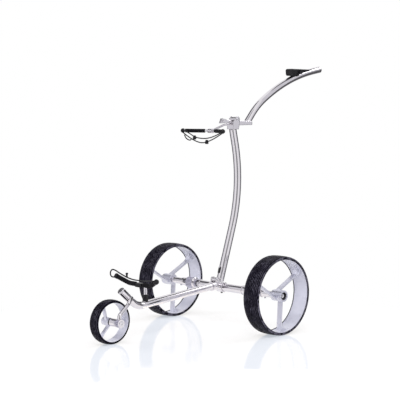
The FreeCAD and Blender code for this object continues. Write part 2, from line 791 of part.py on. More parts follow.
def headed_pin(label, radius, half, y, z):
    """A pin across the trolley with a cap on each end."""
    return turned_part(label, [
        (f"-({half} + pin_cap_height)", "0"), (f"-({half} + pin_cap_height)", "pin_cap_radius - edge_chamfer"),
        (f"-({half} + pin_cap_height - edge_chamfer)", "pin_cap_radius"), (f"-({half})", "pin_cap_radius"),
        (f"-({half})", radius), (half, radius), (half, "pin_cap_radius"),
        (f"{half} + pin_cap_height - edge_chamfer", "pin_cap_radius"),
        (f"{half} + pin_cap_height", "pin_cap_radius - edge_chamfer"), (f"{half} + pin_cap_height", "0")],
        "0", y, z)


headed_pin("fold_pin", "fold_pin_radius", f"{block_width} / 2", "fold_y", "fold_z")

# ---- upright with its foot, head, bolt and fold lever ----

bend_y = ("(upright_start_y + upright_lower_length * sin(upright_lean)"
          " + upright_bend_radius * (cos(upright_top_lean) - cos(upright_lean)))")
bend_z = ("(upright_start_z + upright_lower_length * cos(upright_lean)"
          " + upright_bend_radius * (sin(upright_lean) + sin(upright_top_lean)))")
top_y = f"({bend_y} - upright_upper_length * sin(upright_top_lean))"
top_z = f"({bend_z} + upright_upper_length * cos(upright_top_lean))"
joint_y = f"({top_y} + joint_back)"
joint_z = f"({top_z} + joint_up)"


def beside_upright(up, ahead):
    """Where a point lies that is so far up the upright and so far ahead of its middle."""
    return (f"upright_start_y + ({up}) * sin(upright_lean) - ({ahead}) * cos(upright_lean)",
            f"upright_start_z + ({up}) * cos(upright_lean) + ({ahead}) * sin(upright_lean)")


upright_pipe = bent_tube("upright_pipe", ("upright_start_y", "upright_start_z"), [
    ("run", "90 - upright_lean", "upright_lower_length"), ("bend", "upright_bend_radius"),
    ("run", "90 + upright_top_lean", "upright_upper_length")], "upright_radius", "tube_wall")
lug = block("lever_lug", "lug_width", "lug_reach + tube_wall", "lug_height", "-lug_width / 2",
            *beside_upright("lever_pivot_up - lug_height / 2", "upright_radius + lug_reach"), "upright_lean")
lever_pin = rod_across("lever_pin", "lever_pin_radius", "-lever_width / 2", "lever_width / 2",
                       *beside_upright("lever_pivot_up", "upright_radius + lug_reach - lever_pin_inset"))
lug_bore = rod_across("lug_bore", "lever_pin_radius + running_gap", "-lug_width", "lug_width",
                      *beside_upright("lever_pivot_up", "upright_radius + lug_reach - lever_pin_inset"))
cut("upright_tube", fuse("upright_with_lug", upright_pipe, lug), lug_bore)

lever_bar = block("lever_bar", "lever_width", "lever_thickness", "lever_length", "-lever_width / 2",
                  *beside_upright("lever_pivot_up + lever_overhang - lever_length",
                                  "upright_radius + lever_standoff + lever_thickness"), "upright_lean")
lever_slot = block("lever_slot", "lug_width + 2 * part_gap", "3 * lever_thickness",
                   "lug_height + 4 * part_gap",
                   "-lug_width / 2 - part_gap",
                   *beside_upright("lever_pivot_up - lug_height / 2 - 3 * part_gap",
                                   "upright_radius + 2 * lever_thickness"),
                   "upright_lean")
fuse("fold_lever", cut("lever_forked", lever_bar, lever_slot), lever_pin)

foot_round = rod_leaning("foot_round", "upright_radius", "foot_length",
                         "upright_start_y - foot_length * sin(upright_lean)",
                         "upright_start_z - foot_length * cos(upright_lean)", "upright_lean")
foot_stem = rod_leaning("foot_stem", "upright_radius - tube_wall", "foot_plug",
                        "upright_start_y", "upright_start_z", "upright_lean")
foot_width = "(ear_gap - 2 * part_gap)"
foot_eye = rod_across("foot_eye", "fold_eye_radius", f"-{foot_width} / 2", f"{foot_width} / 2",
                      "fold_y", "fold_z")
foot_arm = slab("foot_arm", [
    ("fold_y", "fold_z + fold_eye_radius"), ("fold_y", "fold_z - fold_eye_radius"),
    ("upright_start_y", foot_bottom), ("upright_start_y - foot_toe", "upright_start_z"),
    ("upright_start_y - upright_radius", "upright_start_z + foot_toe / 2")], foot_width)
foot_floor = block("foot_floor", "80", "80", "40", "-40", "fold_y + fold_eye_radius + 2",
                   f"{foot_bottom} - 40")
eye_bore = rod_across("eye_bore", "fold_pin_radius + running_gap", "-40", "40", "fold_y", "fold_z")
cut("upright_foot", fuse("foot_solid", foot_round, foot_stem, foot_eye, foot_arm), foot_floor, eye_bore)


def at_joint(thing):
    """Seat a piece that is drawn around the joint's bolt."""
    place(thing, "0", joint_y, joint_z)
    return thing


plate_middle = "(head_gap / 2 + head_wall / 2)"
plates = []
for side, sign in (("left", ""), ("right", "-")):
    plates.append(slab(f"{side}_head_plate", [
        ("-head_front", "-joint_up + head_lap"), ("-head_front", "-head_shoulder"), ("0", "head_plate_radius"),
        ("head_plate_radius", "0"), ("head_plate_radius - 2", "-head_top_drop"),
        ("head_back", "-joint_up + head_lap")], "head_wall", f"{sign}{plate_middle}"))
    plates.append(rod_across(f"{side}_head_disc", "head_plate_radius",
                             f"{sign}{plate_middle} - head_wall / 2",
                             f"{sign}{plate_middle} + head_wall / 2", "0", "0"))
head_width = "(head_gap + 2 * head_wall)"
head_base = block("head_base", head_width, "head_front + head_back", "joint_up - head_lap - head_top_drop",
                  f"-{head_width} / 2", "-head_front", "-joint_up + head_lap")
front_wall = block("head_front_wall", head_width, "head_front_wall",
                   "joint_up - head_lap - head_shoulder - 1", f"-{head_width} / 2",
                  "-head_front", "-joint_up + head_lap")
head_collar = rod_leaning("head_collar", "upright_radius", "head_collar_height", "-joint_back", "-joint_up",
                          "-upright_top_lean")
head_stem = rod_leaning("head_stem", "upright_radius - tube_wall", "head_plug",
                        "-joint_back + head_plug * sin(upright_top_lean)",
                        "-joint_up - head_plug * cos(upright_top_lean)", "-upright_top_lean")
wing = slab("accessory_wing", [
    ("-head_front + bracket_lap", "-10.8"), ("-head_front + bracket_lap", "-3"), ("-49", "-1.5"), ("-73", "4"),
    ("-bracket_reach", "-15.5"), ("-56", "-13.5")], "bracket_width")
wing_hole = rod_across("wing_hole", "bracket_hole_radius", "-bracket_width", "bracket_width",
                       "-bracket_hole_reach", "-bracket_hole_drop")
bolt_hole = rod_across("bolt_hole", "joint_bolt_radius", "-40", "40", "0", "0")
upright_end = rod_leaning("upright_end", "upright_radius", "head_plug",
                          "-joint_back + head_plug * sin(upright_top_lean)",
                          "-joint_up - head_plug * cos(upright_top_lean)", "-upright_top_lean")
head_fork = cut("head_fork", fuse("head_walls", *plates, head_base, front_wall), upright_end)
at_joint(cut("upright_head", fuse("head_solid", head_fork, head_collar, head_stem, wing),
             wing_hole, bolt_hole))
headed_pin("joint_bolt", "joint_bolt_radius", f"{head_width} / 2", joint_y, joint_z)

# ---- handle with its link, plug, control housing and dial ----

link_side = slab("link_side", [
    ("-6", "-link_drop"), ("link_length", "-link_drop + link_taper"),
    ("link_length", "-link_drop + link_height - link_taper"), ("link_rise_back", "-link_drop + link_height + 1"),
    ("10", "4"), ("-8", "4"), ("-10", "-4")], "link_width")
link_eye = rod_across("link_eye", "link_eye_radius", "-link_width / 2", "link_width / 2", "0", "0")
link_bore = rod_across("link_bore", "joint_bolt_radius + running_gap", "-40", "40", "0", "0")
link = at_joint(cut("handle_link", fuse("link_solid", link_side, link_eye), link_bore))

handle_start = ("handle_start_back", "-handle_start_drop")
handle_legs = [("run", "handle_angle", "handle_lower_length"), ("bend", "handle_lower_bend"),
               ("run", "handle_middle_angle", "handle_middle_length"), ("bend", "handle_upper_bend"),
               ("run", "handle_top_angle", "handle_upper_length")]
handle_pipe = bent_tube("handle_pipe", handle_start, handle_legs, "handle_radius", "tube_wall")
handle_bar = bent_tube("handle_bar", handle_start, handle_legs, "handle_radius")
link_shape = slab("link_shape", [
    ("-6", "-link_drop"), ("link_length", "-link_drop + link_taper"),
    ("link_length", "-link_drop + link_height - link_taper"), ("link_rise_back", "-link_drop + link_height + 1")],
    "link_width")
at_joint(cut("handle_tube", handle_pipe, link_shape))

handle_end_y = ("(handle_start_back + handle_lower_length * cos(handle_angle)"
                " + handle_lower_bend * (sin(handle_angle) - sin(handle_middle_angle))"
                " + handle_middle_length * cos(handle_middle_angle)"
                " + handle_upper_bend * (sin(handle_middle_angle) - sin(handle_top_angle))"
                " + handle_upper_length * cos(handle_top_angle))")
handle_end_z = ("(-handle_start_drop + handle_lower_length * sin(handle_angle)"
                " + handle_lower_bend * (cos(handle_middle_angle) - cos(handle_angle))"
                " + handle_middle_length * sin(handle_middle_angle)"
                " + handle_upper_bend * (cos(handle_top_angle) - cos(handle_middle_angle))"
                " + handle_upper_length * sin(handle_top_angle))")
at_joint(fuse("handle_plug",
              rod_leaning("handle_plug_stem", "handle_radius - tube_wall", "plug_depth",
                          f"{handle_end_y} - plug_depth * cos(handle_top_angle)",
                          f"{handle_end_z} - plug_depth * sin(handle_top_angle)",
                          "90 - handle_top_angle"),
              rod_leaning("handle_plug_head", "handle_radius", "plug_head", handle_end_y, handle_end_z,
                          "90 - handle_top_angle")))

control_top = "(control_bottom + control_height)"
control_rear = "(control_front + control_length)"
control_solid = slab("control_solid", [
    ("control_front", "control_bottom + control_corner"),
    ("control_front", f"{control_top} - control_corner"),
    ("control_front + control_corner", control_top), (control_rear, control_top),
    (control_rear, "control_bottom"), ("control_front + control_corner", "control_bottom")],
    "control_width")
cavity_bottom = "(control_bottom + control_height / 2 - 2)"
control_cavity = block("control_cavity", "control_width - 2 * control_wall",
                       "control_board_length + control_board_room", f"{control_top} - control_wall - {cavity_bottom}",
                       "-control_width / 2 + control_wall", "control_front + 2 * control_wall",
                       cavity_bottom)
dial_hole = rod_across("dial_hole", "dial_shaft_radius + running_gap",
                       "control_width / 2 - dial_shaft_length - part_gap", "control_width",
                       "dial_back", "dial_up")
at_joint(cut("control_housing", control_solid, handle_bar, control_cavity, dial_hole))
at_joint(fuse("control_board",
              block("control_card", "control_width - 2 * control_wall - part_gap",
                    "control_board_length", "control_board_thickness",
                    "-control_width / 2 + control_wall + part_gap / 2",
                    "control_front + 2 * control_wall + control_board_room / 2", cavity_bottom),
              block("control_chip", "8", "14", "4", "-4", "control_front + 4 * control_wall",
                    f"{cavity_bottom} + control_board_thickness")))
at_joint(fuse("speed_dial",
              rod_across("dial_knob", "dial_radius", "control_width / 2 + part_gap",
                         "control_width / 2 + part_gap + dial_height", "dial_back", "dial_up"),
              rod_across("dial_shaft", "dial_shaft_radius", "control_width / 2 - dial_shaft_length",
                         "control_width / 2 + dial_height", "dial_back", "dial_up")))

# ---- front wheel, its axle and the bent arm that carries it ----

front_z = "front_wheel_radius"
hub_floor_x = "(front_hub_inner + front_hub_floor)"
front_bore = "(front_axle_radius + running_gap)"
front_rim = new_body("front_rim")
revolve(front_rim, rim_profile("front"), "barrel", "XZ_Plane")
revolve(front_rim, [
    ("front_hub_inner", "0"), ("front_hub_inner", "front_hub_radius"),
    ("front_hub_outer", "front_hub_radius"), ("front_hub_outer", "front_bearing_radius"),
    (hub_floor_x, "front_bearing_radius"), (hub_floor_x, "0")], "hub", "XZ_Plane")
doc.recompute()
add_spokes(front_rim, "front", 1)
place(front_rim, "0", "front_axle_y", front_z, ALONG_X)
turned_part("front_tyre", tyre_profile("front"), "0", "front_axle_y", front_z, plane="XZ_Plane")
turned_part("front_spacer", [
    ("front_hub_outer + part_gap", "front_axle_radius"), ("front_hub_outer + part_gap", "spacer_radius"),
    ("sleeve_start", "spacer_radius"), ("sleeve_start", "front_axle_radius")],
    "0", "front_axle_y", front_z)
turned_part("front_axle", [
    (f"{hub_floor_x} + 2", "0"), (f"{hub_floor_x} + 2", "front_axle_radius"),
    ("sleeve_end", "front_axle_radius"), ("sleeve_end", "end_screw_radius"),
    ("sleeve_end + end_screw_height", "end_screw_radius - edge_chamfer"), ("sleeve_end + end_screw_height", "0")],
    "0", "front_axle_y", front_z)
front_bearings = []
for spot, start in (("inner", hub_floor_x), ("outer", "(front_hub_outer - front_bearing_width)")):
    front_bearings.append(turned_part(f"front_{spot}_bearing", [
        (start, front_bore), (start, "front_bearing_radius"),
        (f"{start} + front_bearing_width", "front_bearing_radius"),
        (f"{start} + front_bearing_width", front_bore)], "0", "front_axle_y", front_z))
group("front_bearings", *front_bearings)

sleeve_bar = rod_across("sleeve_bar", "sleeve_radius", "sleeve_start", "sleeve_end", "front_axle_y", front_z)
axle_bar = rod_across("axle_bar", "front_axle_radius", "sleeve_start - 1", "sleeve_end + 1",
                      "front_axle_y", front_z)
cut("front_axle_sleeve", sleeve_bar, axle_bar)
sleeve_tool = rod_across("sleeve_tool", "sleeve_radius", "sleeve_start", "sleeve_end",
                         "front_axle_y", front_z)
arm_bar = round_bar("arm_bar", [
    point("arm_x", "front_axle_y", "front_wheel_radius + sleeve_radius - 5"),
    point("arm_x", "front_axle_y + 2", "front_wheel_radius + 2 * sleeve_radius - 2"),
    point("arm_side_x", "arm_side_y", "arm_side_z"),
    point("arm_joint_x", "arm_joint_y", "arm_joint_z")],
    [size("arm_bend"), size("arm_side_bend")], "arm_radius")
cut("front_arm", arm_bar, sleeve_tool, main_bar)

# ---- lower bag holder: post, bracket, padded cradle and strap ----

post_base_z = f"({straight_z} + (post_y - {straight_y}) * tan(main_slope))"
rod_z = "(post_top_z + saddle_thickness + lower_rod_radius)"
post_bar = rod_leaning("post_bar", "post_radius", f"post_top_z - {post_base_z}", "post_y", post_base_z)
cut("lower_post", post_bar, main_bar)
cut("lower_collar",
    rod_leaning("collar_bar", "collar_radius", "main_radius + collar_height", "post_y", post_base_z),
    post_bar, main_bar)
lower_corners = [
    point("lower_half_width", "lower_tip_y", f"{rod_z} + lower_tip_rise"),
    point("lower_knee", "lower_centre_y", rod_z),
    point("-lower_knee", "lower_centre_y", rod_z),
    point("-lower_half_width", "lower_tip_y", f"{rod_z} + lower_tip_rise")]
lower_bends = [size("lower_bend_radius")] * 2
lower_rod = round_bar("lower_cradle_rod", lower_corners, lower_bends, "lower_rod_radius")
cut("lower_bracket",
    fuse("bracket_solid",
         block("bracket_plate", "saddle_width", "saddle_rear_y - saddle_front_y", "saddle_thickness",
               "-saddle_width / 2", "saddle_front_y", "post_top_z"),
         block("rod_saddle", "saddle_width", "2 * lower_pad_radius", "2 * lower_rod_radius + 2",
               "-saddle_width / 2", "lower_centre_y - lower_pad_radius", "post_top_z + saddle_thickness")),
    lower_rod)


def padded_arms(holder, corners, bend, rod, pad_radius, pad_start, cap_back):
    """A pad on each arm of a cradle, from its middle part to just before its cap."""
    pads = []
    for side, tip, knee in (("left", corners[0], corners[1]), ("right", corners[3], corners[2])):
        outward = (tip - knee).normalize()
        finish = tip - outward * size(cap_back)
        if size(pad_start) < abs(knee.x):
            path = [Vector(math.copysign(size(pad_start), knee.x), knee.y, knee.z), knee, finish]
        else:
            path = [knee + outward * (size(pad_start) - abs(knee.x)) / abs(outward.x), finish]
        whole = round_bar(f"{holder}_{side}_sleeve", path, [size(bend)], pad_radius)
        pads.append(cut(f"{holder}_{side}_pad", whole, rod))
    return pads


group("lower_cradle_pads", *padded_arms("lower", lower_corners, "lower_bend_radius", lower_rod,
                                        "lower_pad_radius", "lower_pad_start", "cap_length / 2"))
lower_caps = []
for side, tip, knee in (("left", lower_corners[0], lower_corners[1]),
                        ("right", lower_corners[3], lower_corners[2])):
    reach = (tip - knee).normalize() * size("cap_length") / 2
    cap_bar = round_bar(f"{side}_cap_bar", [tip - reach, tip + reach], [], "lower_pad_radius + cap_extra")
    lower_caps.append(cut(f"{side}_lower_cap", cap_bar, lower_rod))
group("lower_cradle_caps", *lower_caps)

# The strap is held in front of the left cap, crosses above the pads and loops round the right cap.
# Its corners are measured from the middle of the cradle rod.
strap_route = [
    (106, -30, 26.5), (52, -13, 18.5), (15, -2, 14.5), (-50, -2, 14.5), (-95, -14, 32.5),
    (-119.4, -19, 45), (-136.7, -20, 45), (-145.3, -20.5, 30), (-136.7, -21, 15), (-117, -22, 18)]
cradle_middle = point("0", "lower_centre_y", rod_z)
strap_bar = cord("strap_bar", [cradle_middle + Vector(*corner) for corner in strap_route], "strap_radius")
strap = cut("lower_strap", strap_bar, *lower_caps)
peg_foot = [Vector(*corner) for corner in strap_route[3:5]]
peg_share = (size("peg_x") - peg_foot[0].x) / (peg_foot[1].x - peg_foot[0].x)
peg_base = cradle_middle + peg_foot[0] + (peg_foot[1] - peg_foot[0]) * peg_share
peg_bar = round_bar("peg_bar", [peg_base, peg_base + Vector(0, 0, size("peg_height"))], [], "peg_radius")
cut("lower_strap_peg", peg_bar, strap_bar)

# ---- upper bag holder: arm from the head, tilting cradle and bungee ----

holder_y = f"({joint_y} - upper_reach)"
holder_z = f"({joint_z} - upper_drop)"
head_front_y = f"({joint_y} - head_front)"
holder_middle = point("0", holder_y, holder_z)
holder_arm = round_bar("holder_arm_bar", [
    point("0", f"{head_front_y} + 5", f"{holder_z} + 28.5"),
    point("0", f"{head_front_y} - 35", f"{holder_z} + 23"),
    point("0", f"{head_front_y} - 82", f"{holder_z} + 8"), holder_middle],
    [size("upper_bend_radius") * 2] * 2, "holder_arm_radius")
head_space = block("head_space", "80", "80", "120", "-40", head_front_y, f"{joint_z} - 80")
boss = rod_across("holder_boss", "boss_radius", "-boss_width / 2", "boss_width / 2", holder_y, holder_z)
boss_bore = rod_across("boss_bore", "upper_rod_radius + running_gap", "-boss_width", "boss_width",
                       holder_y, holder_z)
cut("upper_holder_arm", fuse("holder_solid", holder_arm, boss), boss_bore, head_space)

upper_corners = [
    holder_middle + point("upper_half_width", "-upper_sweep", "0"),
    holder_middle + point("upper_knee", "0", "0"),
    holder_middle + point("-upper_knee", "0", "0"),
    holder_middle + point("-upper_half_width", "-upper_sweep", "0")]
upper_rod = round_bar("upper_rod_bar", upper_corners, [size("upper_bend_radius")] * 2, "upper_rod_radius")
upper_balls = []
for side, tip in (("left", upper_corners[0]), ("right", upper_corners[3])):
    upper_balls.append(ball(f"{side}_upper_ball", "upper_ball_radius", str(tip.x), str(tip.y), str(tip.z)))
cut("upper_cradle_rod", upper_rod, *upper_balls)
group("upper_cradle_caps", *upper_balls)
group("upper_cradle_sleeves", *padded_arms("upper", upper_corners, "upper_bend_radius", upper_rod,
                                           "upper_sleeve_radius", "upper_sleeve_start",
                                           "upper_ball_radius - 1"))

# The bungee hangs from ball to ball in two strands, measured from the middle of the holder.
bungee_routes = {
    "bungee_strand_1": [(110, -50, -2), (62, -57, -27.5), (-20, -57, -29), (-68, -57, -6), (-105, -50, 4)],
    "bungee_strand_2": [(112, -52, -7), (46, -57, -44.5), (-28, -57, -45), (-108, -50, -5)]}
lock_spots = {"bungee_strand_1": (-31.8, -57, -25.3), "bungee_strand_2": (34.7, -57, -41.2)}
strands = {}
locks = []
for name, route in bungee_routes.items():
    strands[name] = cord(f"{name}_bar", [holder_middle + Vector(*corner) for corner in route], "cord_radius")
    cut(name, strands[name], *upper_balls)
    middle = holder_middle + Vector(*lock_spots[name])
    lift = Vector(0, 0, size("cord_lock_radius"))
    lock_bar = round_bar(f"{name}_lock_bar", [middle - lift, middle + lift], [], "cord_lock_radius - 1")
    locks.append(cut(f"{name}_lock", lock_bar, strands[name]))
group("cord_locks", *locks)
loop_route = [(-51, -57, -33.4), (-56, -57, -39), (-84, -57, -27.5), (-87, -57, -15.5)]
loop_bar = cord("loop_bar", [holder_middle + Vector(*corner) for corner in loop_route], "cord_radius")
cut("bungee_loop", loop_bar, strands["bungee_strand_2"])

# ---- what is kept: one STEP file for each part ----

wheel_parts = ["left_rim", "left_tyre", "left_drive_axle", "left_hub_ring", "left_release_button",
               "left_coupling_pin", "right_rim", "right_tyre", "right_drive_axle", "right_hub_ring",
               "right_release_button", "right_coupling_pin", "front_rim", "front_tyre", "front_bearings"]
frame_parts = ["cross_tube", "junction_block", "fold_pin", "main_tube", "main_tube_plug", "front_arm",
               "front_axle_sleeve", "front_axle", "front_spacer", "left_motor_housing",
               "left_gear_motor", "left_axle_neck", "right_motor_housing", "right_gear_motor",
               "right_axle_neck", "neck_bearings", "controller_board", "battery_socket"]
holder_parts = ["lower_post", "lower_collar", "lower_bracket", "lower_cradle_rod", "lower_cradle_pads",
                "lower_cradle_caps", "lower_strap", "lower_strap_peg", "upper_holder_arm",
                "upper_cradle_rod", "upper_cradle_sleeves", "upper_cradle_caps", "bungee_strand_1",
                "bungee_strand_2", "cord_locks", "bungee_loop"]
upright_parts = ["upright_tube", "upright_foot", "upright_head", "joint_bolt", "fold_lever",
                 "handle_link", "handle_tube", "handle_plug", "control_housing", "control_board",
                 "speed_dial"]
kept_parts = wheel_parts + frame_parts + holder_parts + upright_parts

doc.recompute()
for thing in doc.Objects:
    if "Invalid" in thing.State or "Error" in thing.State:
        raise RuntimeError(f"{thing.Label} did not build: {thing.State}")
for name in kept_parts:
    shape = doc.getObjectsByLabel(name)[0].Shape
    if shape.isNull() or not shape.isValid() or not shape.Solids:
        raise RuntimeError(f"{name} has no valid solid")
for name in kept_parts:
    shape = doc.getObjectsByLabel(name)[0].Shape
    shape.exportStep(f"parts/{name}.step")
print(len(kept_parts), "parts written")
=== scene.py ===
import json
import math
import bmesh
import bpy
from mathutils import Matrix, Vector, noise


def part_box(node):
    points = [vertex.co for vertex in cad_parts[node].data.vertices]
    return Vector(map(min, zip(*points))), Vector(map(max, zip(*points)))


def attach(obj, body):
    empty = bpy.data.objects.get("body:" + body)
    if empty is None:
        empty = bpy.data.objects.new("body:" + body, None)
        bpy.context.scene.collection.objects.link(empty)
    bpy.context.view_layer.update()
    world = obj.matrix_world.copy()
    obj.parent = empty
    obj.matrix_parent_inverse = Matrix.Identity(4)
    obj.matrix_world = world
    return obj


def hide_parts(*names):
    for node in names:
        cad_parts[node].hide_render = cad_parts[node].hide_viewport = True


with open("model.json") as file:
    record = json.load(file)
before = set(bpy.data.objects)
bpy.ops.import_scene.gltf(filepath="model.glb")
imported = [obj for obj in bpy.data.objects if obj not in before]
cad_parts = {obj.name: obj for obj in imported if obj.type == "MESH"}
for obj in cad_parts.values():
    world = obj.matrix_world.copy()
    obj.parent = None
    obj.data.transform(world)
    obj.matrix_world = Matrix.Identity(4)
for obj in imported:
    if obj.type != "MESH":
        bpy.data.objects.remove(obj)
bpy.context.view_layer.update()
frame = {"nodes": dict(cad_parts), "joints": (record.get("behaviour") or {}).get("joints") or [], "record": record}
nodes = frame["nodes"]
joints = {joint["name"]: joint for joint in frame["joints"]}
mm = 0.001
print("frame loaded:", len(nodes), "nodes")

# camera: at the left front, a little above the upper bag holder
cameraSettings = {
    "place": (3.2254, -3.3013, 0.8396),
    "azimuth": 45.11,
    "down": 4.27,
    "roll": 0.36,
    "lens": 106.67,
    "sensor": 36.0,
    "farthest": 60,
}


def makeCamera(settings):
    data = bpy.data.cameras.new("studioCamera")
    data.lens = settings["lens"]
    data.sensor_width = settings["sensor"]
    data.clip_end = settings["farthest"]
    camera = bpy.data.objects.new("studioCamera", data)
    bpy.context.scene.collection.objects.link(camera)
    yaw, pitch, roll = (math.radians(settings[k]) for k in ("azimuth", "down", "roll"))
    back = Vector((math.sin(yaw) * math.cos(pitch), -math.cos(yaw) * math.cos(pitch), math.sin(pitch)))
    right = Vector((math.cos(yaw), math.sin(yaw), 0))
    up = back.cross(right)
    tiltedRight = right * math.cos(roll) + up * math.sin(roll)
    tiltedUp = up * math.cos(roll) - right * math.sin(roll)
    turn = Matrix((tiltedRight, tiltedUp, back)).transposed()
    camera.matrix_world = Matrix.Translation(settings["place"]) @ turn.to_4x4()
    bpy.context.scene.camera = camera


makeCamera(cameraSettings)

# studio: white sweep, soft lamps, dark flags that only the metal sees
studio = {
    "floorSize": 12.0,
    "floorColour": (0.90, 0.90, 0.92, 1),
    "floorLit": (0.34, 0.34, 0.35, 1),
    "floorGlow": (0.47, 0.50, 0.545, 1),
    "floorShine": (0.21, 0.17, 0.11, 1),
    "floorPolish": 0.10,
    "floorMiddle": (0.5, -0.5, 0),
    "floorFade": (1.05, 1.35),
    "veilHeight": 0.003,
    "worldColour": (0.96, 0.97, 1.0, 1),
    "worldLight": 0.55,
    "white": (1, 1, 1, 1),
    "lamps": [
        {"place": (2.6, -2.2, 3.2), "size": (2.4, 2.4), "power": 95},
        {"place": (-3.0, -2.4, 2.2), "size": (2.0, 2.6), "power": 55},
        {"place": (0.5, 3.2, 2.6), "size": (2.8, 2.0), "power": 60},
    ],
    "aim": (0, 0, 0.45),
    "flags": [(0, 44, 0.34), (84, 34, 0.74), (-84, 34, 0.74), (126, 50, 0.12), (-126, 50, 0.12)],
    "flagTint": 1.04,
    "flagProfile": [(0.8, 0.01), (3.4, 0.02), (3.4, 3.6), (1.2, 4.4)],
}


def shaderTree(name):
    material = bpy.data.materials.new(name)
    material.use_nodes = True
    tree = material.node_tree
    tree.nodes.clear()
    return material, tree


def addNode(tree, kind, settings=None, **sockets):
    node = tree.nodes.new("ShaderNode" + kind)
    for key, value in (settings or {}).items():
        setattr(node, key, value)
    for key, value in sockets.items():
        socket = node.inputs[key.replace("_", " ")]
        if isinstance(value, bpy.types.NodeSocket):
            tree.links.new(value, socket)
        else:
            socket.default_value = value
    return node


def mathOf(tree, operation, first, second):
    node = addNode(tree, "Math", {"operation": operation})
    tree.links.new(first, node.inputs[0])
    tree.links.new(second, node.inputs[1])
    return node.outputs[0]


def blend(tree, share, first, second):
    mix = addNode(tree, "MixShader")
    for socket, value in zip(mix.inputs, (share, first, second)):
        tree.links.new(value, socket)
    return mix.outputs[0]


def together(tree, first, second):
    both = addNode(tree, "AddShader")
    tree.links.new(first, both.inputs[0])
    tree.links.new(second, both.inputs[1])
    return both.outputs[0]


def closeTree(tree, shader, kind="OutputMaterial"):
    output = addNode(tree, kind)
    tree.links.new(shader, output.inputs[0])


def spotOf(tree):
    return addNode(tree, "TexCoord").outputs["Object"]


def seesBackdrop(tree):
    path = addNode(tree, "LightPath")
    looked = mathOf(tree, "MAXIMUM", path.outputs["Is Camera Ray"], path.outputs["Is Glossy Ray"])
    return mathOf(tree, "MAXIMUM", looked, path.outputs["Is Transmission Ray"])


def makeWorld(settings):
    world = bpy.data.worlds.new("studioWorld")
    bpy.context.scene.world = world
    world.use_nodes = True
    tree = world.node_tree
    tree.nodes.clear()
    light = addNode(tree, "Background", Color=settings["worldColour"], Strength=settings["worldLight"])
    white = addNode(tree, "Background", Color=settings["white"], Strength=1.0)
    shown = blend(tree, seesBackdrop(tree), light.outputs[0], white.outputs[0])
    closeTree(tree, shown, "OutputWorld")


def makePlane(name, width, place, material):
    mesh = bpy.data.meshes.new(name)
    half = width / 2
    corners = [(-half, -half, 0), (half, -half, 0), (half, half, 0), (-half, half, 0)]
    mesh.from_pydata(corners, [], [(0, 1, 2, 3)])
    mesh.materials.append(material)
    plane = bpy.data.objects.new(name, mesh)
    bpy.context.scene.collection.objects.link(plane)
    plane.location = place
    return plane


def seenBy(item, *rays):
    for ray in ("camera", "diffuse", "glossy", "transmission", "volume_scatter", "shadow"):
        setattr(item, "visible_" + ray, ray in rays)


def makeFloor(settings):
    material, tree = shaderTree("studioFloor")
    lit = addNode(tree, "BsdfDiffuse", Color=settings["floorColour"])
    soft = addNode(tree, "BsdfDiffuse", Color=settings["floorLit"])
    shine = addNode(tree, "BsdfGlossy", Color=settings["floorShine"], Roughness=settings["floorPolish"])
    glow = addNode(tree, "Emission", Color=settings["floorGlow"], Strength=1.0)
    white = addNode(tree, "Emission", Color=settings["white"], Strength=1.0)
    near = together(tree, together(tree, soft.outputs[0], shine.outputs[0]), glow.outputs[0])
    looked = seesBackdrop(tree)
    shown = blend(tree, looked, lit.outputs[0], near)
    distance = addNode(tree, "VectorMath", {"operation": "DISTANCE"})
    tree.links.new(spotOf(tree), distance.inputs[0])
    distance.inputs[1].default_value = settings["floorMiddle"]
    start, end = settings["floorFade"]
    fade = addNode(tree, "MapRange", From_Min=start, From_Max=end, Value=distance.outputs["Value"])
    seen = mathOf(tree, "MULTIPLY", fade.outputs[0], looked)
    closeTree(tree, blend(tree, seen, shown, white.outputs[0]))
    makePlane("studioFloor", settings["floorSize"], (0, 0, 0), material)

    # a clear veil marks the rays that the floor reflects, so the cards don't show in it
    clear, tree = shaderTree("floorVeil")
    closeTree(tree, addNode(tree, "BsdfTransparent").outputs[0])
    veil = makePlane("floorVeil", settings["floorSize"], (0, 0, settings["veilHeight"]), clear)
    seenBy(veil, "glossy")


def makeLamps(settings):
    for number, lamp in enumerate(settings["lamps"], start=1):
        data = bpy.data.lights.new(f"softbox{number}", "AREA")
        data.shape = "RECTANGLE"
        data.size, data.size_y = lamp["size"]
        data.energy = lamp["power"]
        softbox = bpy.data.objects.new(f"softbox{number}", data)
        bpy.context.scene.collection.objects.link(softbox)
        softbox.location = lamp["place"]
        aim = Vector(settings["aim"]) - Vector(lamp["place"])
        softbox.rotation_euler = aim.to_track_quat("-Z", "Y").to_euler()


def makeFlags(settings):
    profile = settings["flagProfile"]
    for number, (offset, spread, shade) in enumerate(settings["flags"], start=1):
        material, tree = shaderTree(f"flagCloth{number}")
        grey = (shade, shade, shade * settings["flagTint"], 1)
        cloth = addNode(tree, "Emission", Color=grey, Strength=1.0)
        white = addNode(tree, "Emission", Color=settings["white"], Strength=1.0)
        path = addNode(tree, "LightPath")
        shown = blend(tree, path.outputs["Transparent Depth"], cloth.outputs[0], white.outputs[0])
        closeTree(tree, shown)
        points = []
        for reach, height in profile:
            for side in (-0.5, 0.5):
                heading = math.radians(cameraSettings["azimuth"] + offset + side * spread)
                points.append((reach * math.sin(heading), -reach * math.cos(heading), height))
        faces = [(2 * k, 2 * k + 1, 2 * k + 3, 2 * k + 2) for k in range(len(profile) - 1)]
        mesh = bpy.data.meshes.new(f"flag{number}")
        mesh.from_pydata(points, [], faces)
        mesh.materials.append(material)
        flag = bpy.data.objects.new(f"flag{number}", mesh)
        bpy.context.scene.collection.objects.link(flag)
        seenBy(flag, "glossy")


makeWorld(studio)
makeFloor(studio)
makeLamps(studio)
makeFlags(studio)
bpy.context.scene.view_settings.view_transform = "Standard"
print("studio ready")

